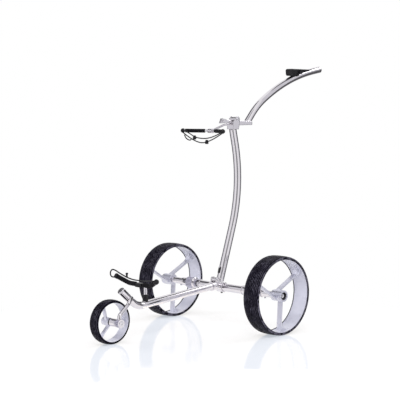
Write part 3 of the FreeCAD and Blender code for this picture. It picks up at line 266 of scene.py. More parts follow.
# materials: each has colour mottling, uneven roughness, fine bump and softened edges; lighter edges are wear on
# most finishes and a painted highlight on the tyre
common = {"roughScale": 2.7, "wearAndHighlightScale": 260, "wearAndHighlightPatches": (0.4, 0.6), "edgeTurn": (0.8, 0.98),
          "bumpDepth": 0.0004, "coatRoughness": 0.12, "sheenRoughness": 0.5}
# painted highlight streaks for the tyre tread
highlightStreaks = {"scale": 44, "waver": 3.2, "thin": (0.80, 1.0), "patchScale": 38, "share": (0.25, 0.8)}
spokes = {"metal": 0.8, "barrel": 0.024, "blend": (-0.006, 0.004)}  # barrel: from the rim's edge inwards


def gradeOf(tree, value, low, high, start=0.3, end=0.7):
    grade = addNode(tree, "MapRange", From_Min=start, From_Max=end, To_Min=low, To_Max=high, Value=value)
    return grade.outputs[0]


def noiseOf(tree, scale, stretch=(1, 1, 1), turn=(0, 0, 0), detail=4):
    mapping = addNode(tree, "Mapping", Vector=spotOf(tree), Scale=stretch,
                      Rotation=[math.radians(a) for a in turn])
    return addNode(tree, "TexNoise", Scale=scale, Detail=detail, Vector=mapping.outputs[0]).outputs["Fac"]


def pebblesOf(tree, scale):
    cells = addNode(tree, "TexVoronoi", {"feature": "F1"}, Scale=scale, Vector=spotOf(tree))
    return cells.outputs["Distance"]


def ringsOf(tree, scale):
    rings = addNode(tree, "TexWave", {"wave_type": "RINGS", "rings_direction": "X"}, Scale=scale,
                    Distortion=0.6, Vector=spotOf(tree))
    return rings.outputs["Fac"]


def highlightStreaksOf(tree):
    # painted highlight streaks: wandering light lines round the tread
    lines = addNode(tree, "TexWave", {"bands_direction": "X"}, Scale=highlightStreaks["scale"],
                    Distortion=highlightStreaks["waver"], Detail=1.5, Detail_Scale=1.6, Vector=spotOf(tree))
    thin = gradeOf(tree, lines.outputs["Fac"], 0, 1, *highlightStreaks["thin"])
    patches = gradeOf(tree, noiseOf(tree, highlightStreaks["patchScale"]), *highlightStreaks["share"], 0.40, 0.60)
    return mathOf(tree, "MULTIPLY", thin, patches)


def awayFromAxle(tree, centre):
    flat = addNode(tree, "VectorMath", {"operation": "MULTIPLY"})
    tree.links.new(spotOf(tree), flat.inputs[0])
    flat.inputs[1].default_value = (0, 1, 1)
    distance = addNode(tree, "VectorMath", {"operation": "DISTANCE"})
    tree.links.new(flat.outputs[0], distance.inputs[0])
    distance.inputs[1].default_value = (0, centre[1], centre[2])
    return distance.outputs["Value"]


def edgesOf(tree, radius):
    bevel = addNode(tree, "Bevel", {"samples": 4}, Radius=radius)
    geometry = addNode(tree, "NewGeometry")
    dot = addNode(tree, "VectorMath", {"operation": "DOT_PRODUCT"})
    tree.links.new(bevel.outputs[0], dot.inputs[0])
    tree.links.new(geometry.outputs["Normal"], dot.inputs[1])
    return bevel.outputs[0], gradeOf(tree, dot.outputs["Value"], 1, 0, *common["edgeTurn"])


def mixColours(tree, share, first, second):
    mix = addNode(tree, "Mix", {"data_type": "RGBA"})
    tree.links.new(share, mix.inputs[0])
    for socket, colour in ((mix.inputs[6], first), (mix.inputs[7], second)):
        if isinstance(colour, bpy.types.NodeSocket):
            tree.links.new(colour, socket)
        else:
            socket.default_value = colour
    return mix.outputs[2]


def makeFinish(name, look):
    material, tree = shaderTree(name)
    lie = (look.get("stretch", (1, 1, 1)), look.get("turn", (0, 0, 0)))
    colour = mixColours(tree, gradeOf(tree, noiseOf(tree, look["mottle"], *lie), 0, 1),
                        look["colour"], look["second"])
    roughness = gradeOf(tree, noiseOf(tree, look["mottle"] * common["roughScale"], *lie), *look["rough"])
    softened, edge = edgesOf(tree, look["edge"])
    metal = look.get("metal", 0)
    # lighter edge patches: real wear on most finishes, a painted highlight along the tyre's groove edges
    if "worn" in look:
        patches = gradeOf(tree, noiseOf(tree, common["wearAndHighlightScale"]), 0, look.get("wearAndHighlight", 0.6),
                          *common["wearAndHighlightPatches"])
        colour = mixColours(tree, mathOf(tree, "MULTIPLY", edge, patches), colour, look["worn"])
    # the tyre's light streaks are painted highlights
    if "highlightStreaks" in look:
        colour = mixColours(tree, highlightStreaksOf(tree), colour, look["highlightStreaks"])
    if "spokes" in look:  # cast spokes are metal, and the barrel round them is painted
        centre, reach = look["spokes"]
        start, end = (reach + step for step in spokes["blend"])
        metal = gradeOf(tree, awayFromAxle(tree, centre), spokes["metal"], 0, start, end)
    if look.get("grain") == "pebbles":
        height = pebblesOf(tree, look["fine"])
    elif look.get("grain") == "turned":
        height = ringsOf(tree, look["fine"])
    else:
        height = noiseOf(tree, look["fine"], *lie, 6)
    bump = addNode(tree, "Bump", Strength=look["bump"], Distance=look.get("depth", common["bumpDepth"]),
                   Height=height, Normal=softened)
    surface = addNode(tree, "BsdfPrincipled", Base_Color=colour, Roughness=roughness,
                      Metallic=metal, Normal=bump.outputs[0],
                      Specular_IOR_Level=look.get("specular", 0.5),
                      Coat_Weight=look.get("coat", 0), Coat_Roughness=common["coatRoughness"],
                      Sheen_Weight=look.get("sheen", 0), Sheen_Roughness=common["sheenRoughness"])
    closeTree(tree, surface.outputs[0])
    return material


steelLook = {"colour": (0.79, 0.765, 0.80, 1), "second": (0.72, 0.695, 0.73, 1), "metal": 1, "mottle": 9,
             "rough": (0.06, 0.12), "fine": 900, "bump": 0.04, "edge": 0.0007}
looks = {
    "polished_steel": steelLook,
    "wheel_metal": {"colour": (0.66, 0.66, 0.75, 1), "second": (0.58, 0.58, 0.67, 1), "mottle": 14,
                    "rough": (0.26, 0.40), "fine": 1500, "bump": 0.08, "edge": 0.001, "coat": 0.25,
                    "worn": (0.70, 0.70, 0.78, 1), "wearAndHighlight": 0.25},
    # the tyre's lighter edge colour and its wandering light streaks are painted highlights
    "tyre_rubber": {"colour": (0.0012, 0.0008, 0.004, 1), "second": (0.004, 0.003, 0.009, 1), "mottle": 26,
                    "rough": (0.34, 0.55), "fine": 1900, "bump": 0.25, "edge": 0.0006,
                    "worn": (0.11, 0.105, 0.135, 1), "wearAndHighlight": 0.9, "specular": 0.04,
                    "highlightStreaks": (0.16, 0.15, 0.20, 1)},
    "bright_steel": {"colour": (0.80, 0.79, 0.82, 1), "second": (0.72, 0.71, 0.75, 1), "metal": 1,
                     "mottle": 40, "rough": (0.14, 0.26), "grain": "turned", "fine": 420, "bump": 0.12,
                     "depth": 0.0002, "edge": 0.0005},
    "black_plastic": {"colour": (0.005, 0.005, 0.006, 1), "second": (0.010, 0.009, 0.012, 1),
                      "mottle": 30, "rough": (0.30, 0.44), "grain": "pebbles", "fine": 1400,
                      "bump": 0.22, "depth": 0.0003, "edge": 0.0007, "worn": (0.05, 0.048, 0.056, 1),
                      "specular": 0.28},
    "soft_rubber": {"colour": (0.004, 0.004, 0.005, 1), "second": (0.010, 0.009, 0.012, 1), "mottle": 60,
                    "rough": (0.58, 0.8), "fine": 1300, "bump": 0.45, "edge": 0.0008, "sheen": 0.03,
                    "worn": (0.018, 0.017, 0.024, 1), "specular": 0.08},
    "circuit_board": {"colour": (0.01, 0.13, 0.06, 1), "second": (0.02, 0.24, 0.10, 1), "mottle": 150,
                      "rough": (0.25, 0.4), "grain": "pebbles", "fine": 700, "bump": 0.3,
                      "edge": 0.0003, "coat": 0.5},
}


braid = {"colour": (0.004, 0.004, 0.005, 1), "thread": (0.024, 0.023, 0.028, 1), "scale": 150,
         "lean": (35, 40)}


def makeBraid(name, settings):
    material, tree = shaderTree(name)
    fronts = []
    for way in (1, -1):
        turned = addNode(tree, "Mapping", Vector=spotOf(tree),
                         Rotation=[math.radians(a * way) for a in (*settings["lean"], 0)])
        threads = addNode(tree, "TexWave", {"bands_direction": "X"}, Scale=settings["scale"],
                          Distortion=0.8, Vector=turned.outputs[0])
        fronts.append(threads.outputs["Fac"])
    weave = mathOf(tree, "MULTIPLY", *fronts)
    shade = mixColours(tree, gradeOf(tree, weave, 0, 1, 0.1, 0.8), settings["colour"], settings["thread"])
    bump = addNode(tree, "Bump", Strength=0.6, Distance=common["bumpDepth"], Height=weave)
    surface = addNode(tree, "BsdfPrincipled", Base_Color=shade, Normal=bump.outputs[0],
                      Roughness=gradeOf(tree, noiseOf(tree, 300), 0.5, 0.75), Sheen_Weight=0.06,
                      Specular_IOR_Level=0.25)
    closeTree(tree, surface.outputs[0])
    return material


finishes = {slot: makeFinish(slot, look) for slot, look in looks.items()}
finishes["elastic_cord"] = makeBraid("elastic_cord", braid)

# long tubes are polished lengthwise, so their grain is drawn out along each of them
tubeGrain = {"cross_tube": ((0.05, 1, 1), (0, 0, 0)), "main_tube": ((1, 0.05, 1), (-5, 0, 0)),
             "upright_tube": ((1, 1, 0.05), (0, 0, 0)), "handle_tube": ((1, 0.05, 1), (-33, 0, 0)),
             "front_arm": ((1, 1, 0.1), (20, 0, 0))}
tubeMottle = 30
# cast and milled pieces have rounder edges than the tubes
softBlocks = {"handle_link": 0.0045, "upright_head": 0.004, "junction_block": 0.003, "upright_foot": 0.003,
              "upper_holder_arm": 0.0025}
slotOf = {part["node"]: part["material_slot"] for part in frame["record"]["subparts"]}


def middleOf(node):
    low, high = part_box(node)
    return (low + high) / 2, (high - low) / 2


def dress(item, finish):
    if item.material_slots:
        for place in item.material_slots:
            place.link = "OBJECT"
            place.material = finish
    else:
        item.data.materials.append(finish)


for node, slot in slotOf.items():
    finish = finishes[slot]
    if node in tubeGrain:
        stretch, turn = tubeGrain[node]
        finish = makeFinish(node + "_steel", dict(steelLook, stretch=stretch, turn=turn, mottle=tubeMottle))
    if node in softBlocks:
        finish = makeFinish(node + "_steel", dict(steelLook, edge=softBlocks[node]))
    if slot == "wheel_metal" and node.endswith("rim"):
        centre, half = middleOf(node)
        finish = makeFinish(node + "_metal", dict(looks[slot], spokes=(centre, half.z - spokes["barrel"])))
    dress(nodes[node], finish)
print("materials ready:", len(finishes))

# mesh helpers


def addPiece(name, points, faces, slot, body, replaced=(), sharp=32, finish=None):
    mesh = bpy.data.meshes.new(name)
    mesh.from_pydata(points, [], faces)
    draft = bmesh.new()
    draft.from_mesh(mesh)
    bmesh.ops.remove_doubles(draft, verts=draft.verts, dist=1e-6)
    bmesh.ops.recalc_face_normals(draft, faces=draft.faces)
    for face in draft.faces:
        face.smooth = True
    for edge in draft.edges:
        edge.smooth = not edge.is_manifold or edge.calc_face_angle(0) < math.radians(sharp)
    draft.to_mesh(mesh)
    draft.free()
    mesh.materials.append(finish or finishes[slot])
    piece = bpy.data.objects.new(name, mesh)
    bpy.context.scene.collection.objects.link(piece)
    if replaced:
        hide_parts(*replaced)
    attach(piece, body)
    return piece


def axesOf(direction):
    along = Vector(direction).normalized()
    side = along.orthogonal().normalized() if abs(along.x) < 0.999 else Vector((0, 1, 0))
    return along, side, along.cross(side).normalized()


def joinRings(rings, closed=False, capped=True):
    count = len(rings[0])
    points = [point for ring in rings for point in ring]
    faces = []
    last = len(rings) if closed else len(rings) - 1
    for row in range(last):
        upper = (row + 1) % len(rings)
        for step in range(count):
            after = (step + 1) % count
            faces.append((row * count + step, row * count + after, upper * count + after,
                          upper * count + step))
    if capped and not closed:
        faces.append(tuple(range(count)))
        faces.append(tuple((len(rings) - 1) * count + step for step in range(count)))
    return points, faces


def latheRings(rows, place, direction, steps):
    # rows are (distance along, radius, shape), where shape changes the radius round the ring
    along, side, across = axesOf(direction)
    rings = []
    for row in rows:
        distance, radius, shape = row if len(row) == 3 else (*row, None)
        ring = []
        for step in range(steps):
            angle = 2 * math.pi * step / steps
            reach = radius * (shape(angle) if shape else 1)
            spot = along * distance + (side * math.cos(angle) + across * math.sin(angle)) * reach
            ring.append(Vector(place) + spot * mm)
        rings.append(ring)
    return rings


def hexagon(angle):
    return math.cos(math.pi / 6) / math.cos(angle % (math.pi / 3) - math.pi / 6)


def flutes(count, depth):
    return lambda angle: 1 - depth * max(0, math.cos(count * angle)) ** 2


def knurl(count, depth):
    return lambda angle: 1 - depth * (0.5 + 0.5 * math.cos(count * angle))


def smoothCurve(name, corners, resolution):
    data = bpy.data.curves.new(name, "CURVE")
    data.dimensions = "3D"
    data.resolution_u = resolution
    spline = data.splines.new("NURBS")
    spline.points.add(len(corners) - 1)
    for point, corner in zip(spline.points, corners):
        point.co = (*corner, 1)
    spline.order_u = 3
    spline.use_endpoint_u = True
    return data


def lineThrough(corners, spacing=1.0):
    guide = bpy.data.objects.new("guide", smoothCurve("guide", corners, resolution=24))
    line = evenPoints(guide, spacing)
    bpy.data.objects.remove(guide)
    return line


def evenPoints(curve, spacing=1.0):
    mesh = bpy.data.meshes.new_from_object(curve)
    raw = [vertex.co.copy() for vertex in mesh.vertices]
    bpy.data.meshes.remove(mesh)
    reach = [0]
    for before, after in zip(raw, raw[1:]):
        reach.append(reach[-1] + (after - before).length)
    count = max(4, round(reach[-1] / (spacing * mm)))
    line, spot = [], 0
    for step in range(count + 1):
        wanted = reach[-1] * step / count
        while spot < len(reach) - 2 and reach[spot + 1] < wanted:
            spot += 1
        span = reach[spot + 1] - reach[spot]
        line.append(raw[spot].lerp(raw[spot + 1], (wanted - reach[spot]) / span if span else 0))
    return line


def sweepRings(line, radiusAt, steps, closed=False):
    # radiusAt(distance from the start, angle) is in millimetres
    rings, travelled = [], 0
    before = None
    side = None
    for index, spot in enumerate(line):
        ahead = line[(index + 1) % len(line)] if closed or index + 1 < len(line) else spot
        behind = line[index - 1] if closed or index else spot
        along = (ahead - behind).normalized()
        if side is None:
            side = along.orthogonal().normalized()
        side = (side - along * side.dot(along)).normalized()
        across = along.cross(side)
        travelled += (spot - before).length / mm if before is not None else 0
        before = spot
        rings.append([spot + (side * math.cos(a) + across * math.sin(a)) * radiusAt(travelled, a) * mm
                      for a in (2 * math.pi * step / steps for step in range(steps))])
    return rings


def turned(name, rows, place, direction, slot, body, replaced=(), steps=48, **more):
    points, faces = joinRings(latheRings(rows, place, direction, steps))
    return addPiece(name, points, faces, slot, body, replaced, **more)


# tyres: a thin carcass round each rim, with grooves that wander round the tread
treads = {
    "rear": {"grooves": 7, "pitch": 8.4, "width": 2.3, "depth": 1.4, "sway": 2.0, "periods": 34,
             "lip": 12.6},
    "front": {"grooves": 4, "pitch": 8.0, "width": 2.1, "depth": 1.3, "sway": 1.7, "periods": 20,
              "lip": 10.4},
}
tyreShape = {"skin": 0.05, "fall": 1.25, "edge": 5, "curve": 1.5, "proud": 0.15, "notch": 0.55,
             "notchShare": 0.3}


def makeTyre(node, body, tread):
    middle, half = middleOf(node)
    crown, reach = half.z / mm, half.x / mm

    def surface(x):
        worn = (abs(x) / (reach - tyreShape["edge"])) ** tyreShape["curve"]
        return crown - tyreShape["skin"] - tyreShape["fall"] * worn

    lip, out = tread["lip"], reach + tyreShape["proud"]
    # from the rim's seat over its edge, up the side and round the shoulder
    rows = [(-reach + 2.6, crown - 7.9, 0), (-reach + 2.4, crown - lip + 0.6, 0),
            (-reach + 0.5, crown - lip, 0), (-out, crown - lip + 0.6, 0),
            (-out, crown - 6.4, 0), (-reach + 0.1, crown - 3.4, 0),
            (-reach + 0.9, crown - 2.6, 0), (-reach + 2.4, crown - 1.9, 0), (-reach + 4.2, crown - 1.4, 0)]
    side = len(rows)
    for number in range(tread["grooves"]):
        x = (number - (tread["grooves"] - 1) / 2) * tread["pitch"]
        wide = tread["width"] / 2
        rows += [(x - wide, surface(x - wide), 1), (x - wide * 0.5, surface(x) - tread["depth"], 1),
                 (x + wide * 0.5, surface(x) - tread["depth"], 1), (x + wide, surface(x + wide), 1)]
        if number < tread["grooves"] - 1:
            rows.append((x + tread["pitch"] / 2, surface(x + tread["pitch"] / 2) + 0.04, 1))
    rows += [(-x, radius, moving) for x, radius, moving in reversed(rows[:side])]
    steps = tread["periods"] * 8
    rings = []
    for x, radius, moving in rows:
        ring = []
        for step in range(steps):
            angle = 2 * math.pi * step / steps
            phase = (tread["periods"] * angle / (2 * math.pi)) % 1
            sway = (4 * abs(phase - 0.5) - 1) * tread["sway"] if moving else 0
            shoulder = not moving and radius > crown - 2
            notch = tyreShape["notch"] if shoulder and phase < tyreShape["notchShare"] else 0
            ring.append(middle + Vector((x + sway, -math.sin(angle) * (radius - notch),
                                         math.cos(angle) * (radius - notch))) * mm)
        rings.append(ring)
    points, faces = joinRings(rings, closed=True)
    addPiece(node + "_treaded", points, faces, "tyre_rubber", body, [node], sharp=24)


makeTyre("left_tyre", "left_wheel", treads["rear"])
makeTyre("right_tyre", "right_wheel", treads["rear"])
makeTyre("front_tyre", "front_wheel", treads["front"])
print("tyres ready")

# wheel hubs: dark notched ring, domed release button, knurled coupling pin
hub = {"ringInner": 10.4, "ringOuter": 14.9, "notches": 3, "notchShare": 0.16, "notchDepth": 0.13,
       "ribs": 20, "ribDepth": 0.07}


def notched(count, share, depth):
    return lambda angle: 1 - depth if (angle * count / (2 * math.pi)) % 1 < share else 1


def innerEnd(low, high, way):
    middle = (low + high) / 2
    return Vector((low.x if way > 0 else high.x, middle.y, middle.z))


for side, way in (("left", 1), ("right", -1)):
    low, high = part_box(f"{side}_hub_ring")
    inner, length = innerEnd(low, high, way), (high.x - low.x) / mm
    cut = notched(hub["notches"], hub["notchShare"], hub["notchDepth"])
    rows = [(0, hub["ringInner"]), (0, hub["ringOuter"]), (length - 1.6, hub["ringOuter"]),
            (length - 1.6, hub["ringOuter"] - 0.7), (length - 1.0, hub["ringOuter"] - 0.7),
            (length - 0.9, hub["ringOuter"]), (length - 0.3, hub["ringOuter"] - 0.2),
            (length, hub["ringOuter"] - 0.9, cut), (length, hub["ringInner"] + 1.3),
            (length - 0.5, hub["ringInner"] + 0.5), (length - 1.6, hub["ringInner"])]
    points, faces = joinRings(latheRings(rows, inner, (way, 0, 0), 72), closed=True)
    addPiece(f"{side}_hub_trim", points, faces, "black_plastic", f"{side}_wheel", [f"{side}_hub_ring"])

    low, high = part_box(f"{side}_release_button")
    inner, length = innerEnd(low, high, way), (high.x - low.x) / mm
    radius = (high.z - low.z) / 2 / mm
    turned(f"{side}_button", [
        (0, 0), (0, radius - 0.3), (0.3, radius), (length - 2.4, radius), (length - 2.3, radius - 0.35),
        (length - 1.9, radius - 0.35), (length - 1.8, radius), (length - 0.8, radius),
        (length - 0.25, radius - 0.5), (length, radius - 1.2), (length - 0.15, radius - 2.2),
        (length - 0.5, 0)], inner, (way, 0, 0), "bright_steel", f"{side}_release",
        [f"{side}_release_button"])

    low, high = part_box(f"{side}_coupling_pin")
    middle = (low + high) / 2
    length, radius = (high.z - low.z) / mm, (high.x - low.x) / 2 / mm
    grip = knurl(hub["ribs"], hub["ribDepth"])
    turned(f"{side}_pull_pin", [
        (0, 0), (0, radius - 1.4), (0.5, radius - 0.5), (0.9, radius, grip), (2.0, radius, grip),
        (4.2, radius, grip), (4.7, radius - 0.5), (5.2, radius - 1.0), (5.5, radius - 1.9),
        (length - 0.6, 1.95), (length, 1.3), (length, 0)], (middle.x, middle.y, low.z), (0, 0, 1),
        "bright_steel", f"{side}_coupling", [f"{side}_coupling_pin"], steps=80)
print("hubs ready")

# pins across the folds: domed heads with a hexagon socket
pins = {
    "fold_pin": {"body": "chassis", "grip": 14.0, "radius": 4.0},
    "joint_bolt": {"body": "upright", "grip": 17.5, "radius": 4.0},
}
for node, pin in pins.items():
    middle, half = middleOf(node)
    grip, radius = pin["grip"], pin["radius"]
    end, head = half.x / mm, half.z / mm
    oneSide = [(grip, radius), (grip, head - 0.1), (grip + 0.5, head - 0.02), (end - 1.3, head - 0.1),
               (end - 0.4, head - 0.9), (end - 0.03, head - 2.3), (end - 0.03, 3.1),
               (end - 0.3, 2.9, hexagon), (end - 2.4, 2.8, hexagon), (end - 2.6, 0)]
    rows = [(-x, *rest) for x, *rest in reversed(oneSide)] + oneSide
    turned(node + "_socketed", rows, middle, (1, 0, 0), "bright_steel", pin["body"], [node], steps=96)

middle, half = middleOf("front_axle")
low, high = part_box("front_axle")
length, head = (high.x - low.x) / mm, half.z / mm
turned("front_axle_screw", [
    (0, 0), (0, 5.4), (0.6, 6), (length - 3, 6), (length - 3, head), (length - 1.4, head),
    (length - 0.5, head - 0.5), (length - 0.02, head - 1.8), (length - 0.02, 4.4),
    (length - 0.3, 4.1, hexagon), (length - 2.4, 4.0, hexagon), (length - 2.5, 0)],
    (low.x, middle.y, middle.z), (1, 0, 0), "bright_steel", "chassis", ["front_axle"], steps=96)
print("pins ready")

# end plugs: pressed into the tubes, with a domed face and a fine lip
plugs = {
    "main_tube_plug": {"body": "chassis", "tube": "main_tube", "rise": 139.5},
    "handle_plug": {"body": "handle", "tube": "handle_tube", "rise": 10.4},
}
for node, plug in plugs.items():
    rise = math.radians(plug["rise"])
    axis = Vector((0, math.cos(rise), math.sin(rise)))
    spots = [vertex.co.dot(axis) for vertex in nodes[node].data.vertices]
    tip, root = max(spots), min(spots)
    edge = max(vertex.co.dot(axis) for vertex in nodes[plug["tube"]].data.vertices)
    face = [vertex.co for vertex in nodes[node].data.vertices if vertex.co.dot(axis) > tip - 1e-5]
    middle = sum(face, Vector()) / len(face)
    radius = max((vertex.co - middle - axis * (vertex.co - middle).dot(axis)).length
                 for vertex in nodes[node].data.vertices) / mm
    depth, head = (tip - root) / mm, (tip - edge) / mm
    start = middle - axis * (tip - root)
    stem = radius - 1.7
    turned(node + "_domed", [
        (0, 0), (0, stem - 1.2), (1.5, stem), (depth - head - 0.05, stem),
        (depth - head - 0.05, radius - 0.9), (depth - head + 0.35, radius - 0.25),
        (depth - head + 0.9, radius - 0.05),
        (depth - 1.0, radius - 0.3), (depth - 0.45, radius - 1.3), (depth - 0.25, radius - 2.6),
        (depth - 0.5, radius - 3.0), (depth - 0.25, radius - 3.4), (depth - 0.08, radius * 0.4),
        (depth - 0.02, 0)], start, axis, slotOf[node], plug["body"], [node], steps=64)
print("plugs ready")

# lower holder: foam arms, their end caps and the peg for the strap
cradle = Vector((0, -398, 202))
foam = {"radius": 8.75, "rib": 0.45, "pitch": 4.6, "start": 19.3, "knee": 58, "bend": 19,
        "tip": (110, -20, 23), "capRoom": 6.3, "fill": 0.8}
foamSkin = {"ends": 3.0, "tipSize": 0.45, "seam": 0.35, "seamAt": 4.2, "seamWidth": 0.09, "lumps": 0.22,
            "lumpScale": 0.16}


def foamRings(line, settings, skin=foamSkin):
    total = sum((b - a).length for a, b in zip(line, line[1:])) / mm

    def radiusAt(distance, angle):
        near = min(distance, total - distance) / skin["ends"]
        rounded = math.sqrt(max(0.0, 1 - (1 - min(1, near)) ** 2))
        size = skin["tipSize"] + (1 - skin["tipSize"]) * rounded
        rib = settings["rib"] * (0.5 + 0.5 * math.cos(2 * math.pi * distance / settings["pitch"])) ** 3
        seam = skin["seam"] * math.exp(-((angle - skin["seamAt"]) / skin["seamWidth"]) ** 2)
        spot = Vector((distance * skin["lumpScale"], math.cos(angle) * 2, math.sin(angle) * 2))
        return settings["radius"] * size - rib - seam + skin["lumps"] * noise.noise(spot)

    return sweepRings(line, radiusAt, 40)


def foamArm(name, corners, settings, body, replaced):
    line = lineThrough([Vector(corner) * mm for corner in corners], 0.8)
    points, faces = joinRings(foamRings(line, settings))
    piece = addPiece(name, points, faces, "soft_rubber", body, replaced, sharp=50)


knee = cradle + Vector((foam["knee"], 0, 0))
tip = cradle + Vector(foam["tip"])
outward = (tip - knee).normalized()
for side, way in (("left", 1), ("right", -1)):
    corners = [cradle + Vector((foam["start"], 0, 0)), knee - Vector((foam["bend"], 0, 0)), knee,
               knee + outward * foam["bend"], tip - outward * foam["capRoom"]]
    corners = [Vector((corner.x * way, corner.y, corner.z)) for corner in corners]
    foamArm(f"{side}_foam_arm", corners, foam, "chassis", ["lower_cradle_pads"])
    direction = Vector((outward.x * way, outward.y, outward.z))
    middle = Vector((tip.x * way, tip.y, tip.z))
    turned(f"{side}_arm_cap", [
        (-6, 4.2), (-6, 9.2), (-5.4, 9.8), (-2.4, 9.85), (-2.1, 9.3), (-1.2, 9.3), (-0.9, 9.85), (2.6, 9.8),
        (4.3, 9.2), (5.4, 7.8), (5.85, 5.5), (5.9, 3.2), (5.5, 2.8), (5.5, 0)],
        (middle - direction * 0.05) * mm, direction, "black_plastic", "chassis", ["lower_cradle_caps"])

low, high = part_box("lower_strap_peg")
middle = (low + high) / 2
top = (high.z - low.z) / mm
turned("strap_knob", [
    (0, 0), (0, 3.6), (0.6, 4.3), (4.5, 3.7), (7.5, 3.5), (top - 7, 3.6), (top - 6, 4.6), (top - 5, 4.95),
    (top - 2, 4.95, flutes(12, 0.08)), (top - 0.9, 4.5), (top - 0.3, 3.6), (top, 2.2), (top - 0.3, 0)],
    (middle.x, middle.y, low.z), (0, 0, 1), "black_plastic", "chassis", ["lower_strap_peg"], steps=72)
print("lower holder ready")

# upper holder: ribbed sleeves, ball ends, cord locks
holder = Vector(joints["upper_holder_tilt"]["pos_m"]) / mm
sleeve = {"radius": 7.45, "rib": 0.4, "pitch": 2.6, "fill": 0.8, "knee": 20, "tip": (108.4, -45.5),
          "start": 6.2, "ballRoom": 8.2, "ball": 8.9}
for side, way in (("left", 1), ("right", -1)):
    bend, end = Vector((sleeve["knee"] * way, 0, 0)), Vector((sleeve["tip"][0] * way, sleeve["tip"][1], 0))
    outward = (end - bend).normalized()
    tip = holder + end
    start = holder + bend + outward * (sleeve["start"] / abs(outward.x))
    end = tip - outward * sleeve["ballRoom"]
    foamArm(f"{side}_grip_sleeve", [start, start.lerp(end, 0.33), start.lerp(end, 0.66), end], sleeve,
            "upper_holder", ["upper_cradle_sleeves"])
    ball = [(-sleeve["ball"] * math.cos(a), sleeve["ball"] * math.sin(a))
            for a in (math.pi * k / 20 for k in range(4, 19))]
    rows = [(-7.2, 5.1)]
    for along, radius in ball:
        if abs(along) < 0.9:
            rows += [(along - 0.5, radius), (along - 0.3, radius - 0.5), (along + 0.3, radius - 0.5),
                     (along + 0.5, radius)]
        else:
            rows.append((along, radius))
    rows += [(8.5, 2.4), (8.1, 2.1), (8.1, 0)]
    turned(f"{side}_ball_end", rows, tip * mm, outward, "black_plastic", "upper_holder",
           ["upper_cradle_caps"], steps=56)

lockRows = [(-8, 0), (-8, 4.6), (-7.4, 6.2), (-6.2, 6.95, flutes(14, 0.07)), (-2.4, 6.95, flutes(14, 0.07)),
            (-2.0, 6.3), (-1.2, 6.3), (-0.8, 6.95), (2.0, 6.95), (2.9, 6.3), (3.1, 4.6), (4.0, 4.5),
            (4.2, 5.2), (5.0, 5.7, flutes(10, 0.06)), (6.6, 5.6, flutes(10, 0.06)), (7.5, 4.7), (7.95, 3.0),
            (7.8, 0)]
for name, spot in (("upper_cord_lock", (-31.8, -57, -25.3)), ("lower_cord_lock", (34.7, -57, -41.2))):
    turned(name, lockRows, (holder + Vector(spot)) * mm, (0, 0, 1), "black_plastic", "upper_holder",
           ["cord_locks"], steps=84)
print("upper holder ready")

# cords: each is one smooth line, led by its route's points
cords = {
    "lower_strap": {"from": cradle, "radius": 2.5, "body": "chassis", "length": 0.300, "stiffness": "medium",
                    "points": [(106, -30, 26.5), (52, -13, 18.5), (15, -2, 14.5), (-50, -2, 14.5),
                               (-95, -14, 32.5), (-119.4, -19, 45), (-136.7, -20, 45),
                               (-145.3, -20.5, 30), (-136.7, -21, 15), (-117, -22, 18)]},
    "bungee_strand_1": {"from": holder, "radius": 2.2, "body": "upper_holder", "length": 0.217,
                        "stiffness": "limp", "points": [(110, -50, -2), (62, -57, -27.5), (-20, -57, -29),
                                                        (-68, -57, -6), (-105, -50, 4)]},
    "bungee_strand_2": {"from": holder, "radius": 2.2, "body": "upper_holder", "length": 0.233,
                        "stiffness": "limp", "points": [(112, -52, -7), (46, -57, -44.5), (-28, -57, -45),
                                                        (-108, -50, -5)]},
    "bungee_loop": {"from": holder, "radius": 2.2, "body": "upper_holder", "length": 0.048,
                    "stiffness": "limp", "points": [(-51, -57, -33.4), (-56, -57, -39), (-84, -57, -27.5),
                                                    (-87, -57, -15.5)]},
}


def makeCord(node, settings):
    route = [(settings["from"] + Vector(spot)) * mm for spot in settings["points"]]
    data = smoothCurve(node + "_line", route, resolution=16)
    data.bevel_depth = settings["radius"] * mm
    data.bevel_resolution = 6
    data.use_fill_caps = True
    data.materials.append(finishes["elastic_cord"])
    piece = bpy.data.objects.new(node + "_line", data)
    bpy.context.scene.collection.objects.link(piece)
    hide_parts(node)
    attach(piece, settings["body"])


cords["lower_strap"]["pieces"] = ["strap_knob"]
cords["bungee_strand_1"]["pieces"] = ["upper_cord_lock"]
cords["bungee_strand_2"]["pieces"] = ["lower_cord_lock"]
for node, settings in cords.items():
    makeCord(node, settings)
print("cords ready")

# fold lever: a forked thumb lever with ridges, drawn along the upright
lever = {"lean": 17.7, "width": 8.8, "thick": 4.4, "round": 1.6, "ridge": 0.4, "ridgePitch": 2.2,
         "ridged": (1.5, 12.5), "thumbEnd": 9.8, "prongStart": 11.2, "gap": 2.4}


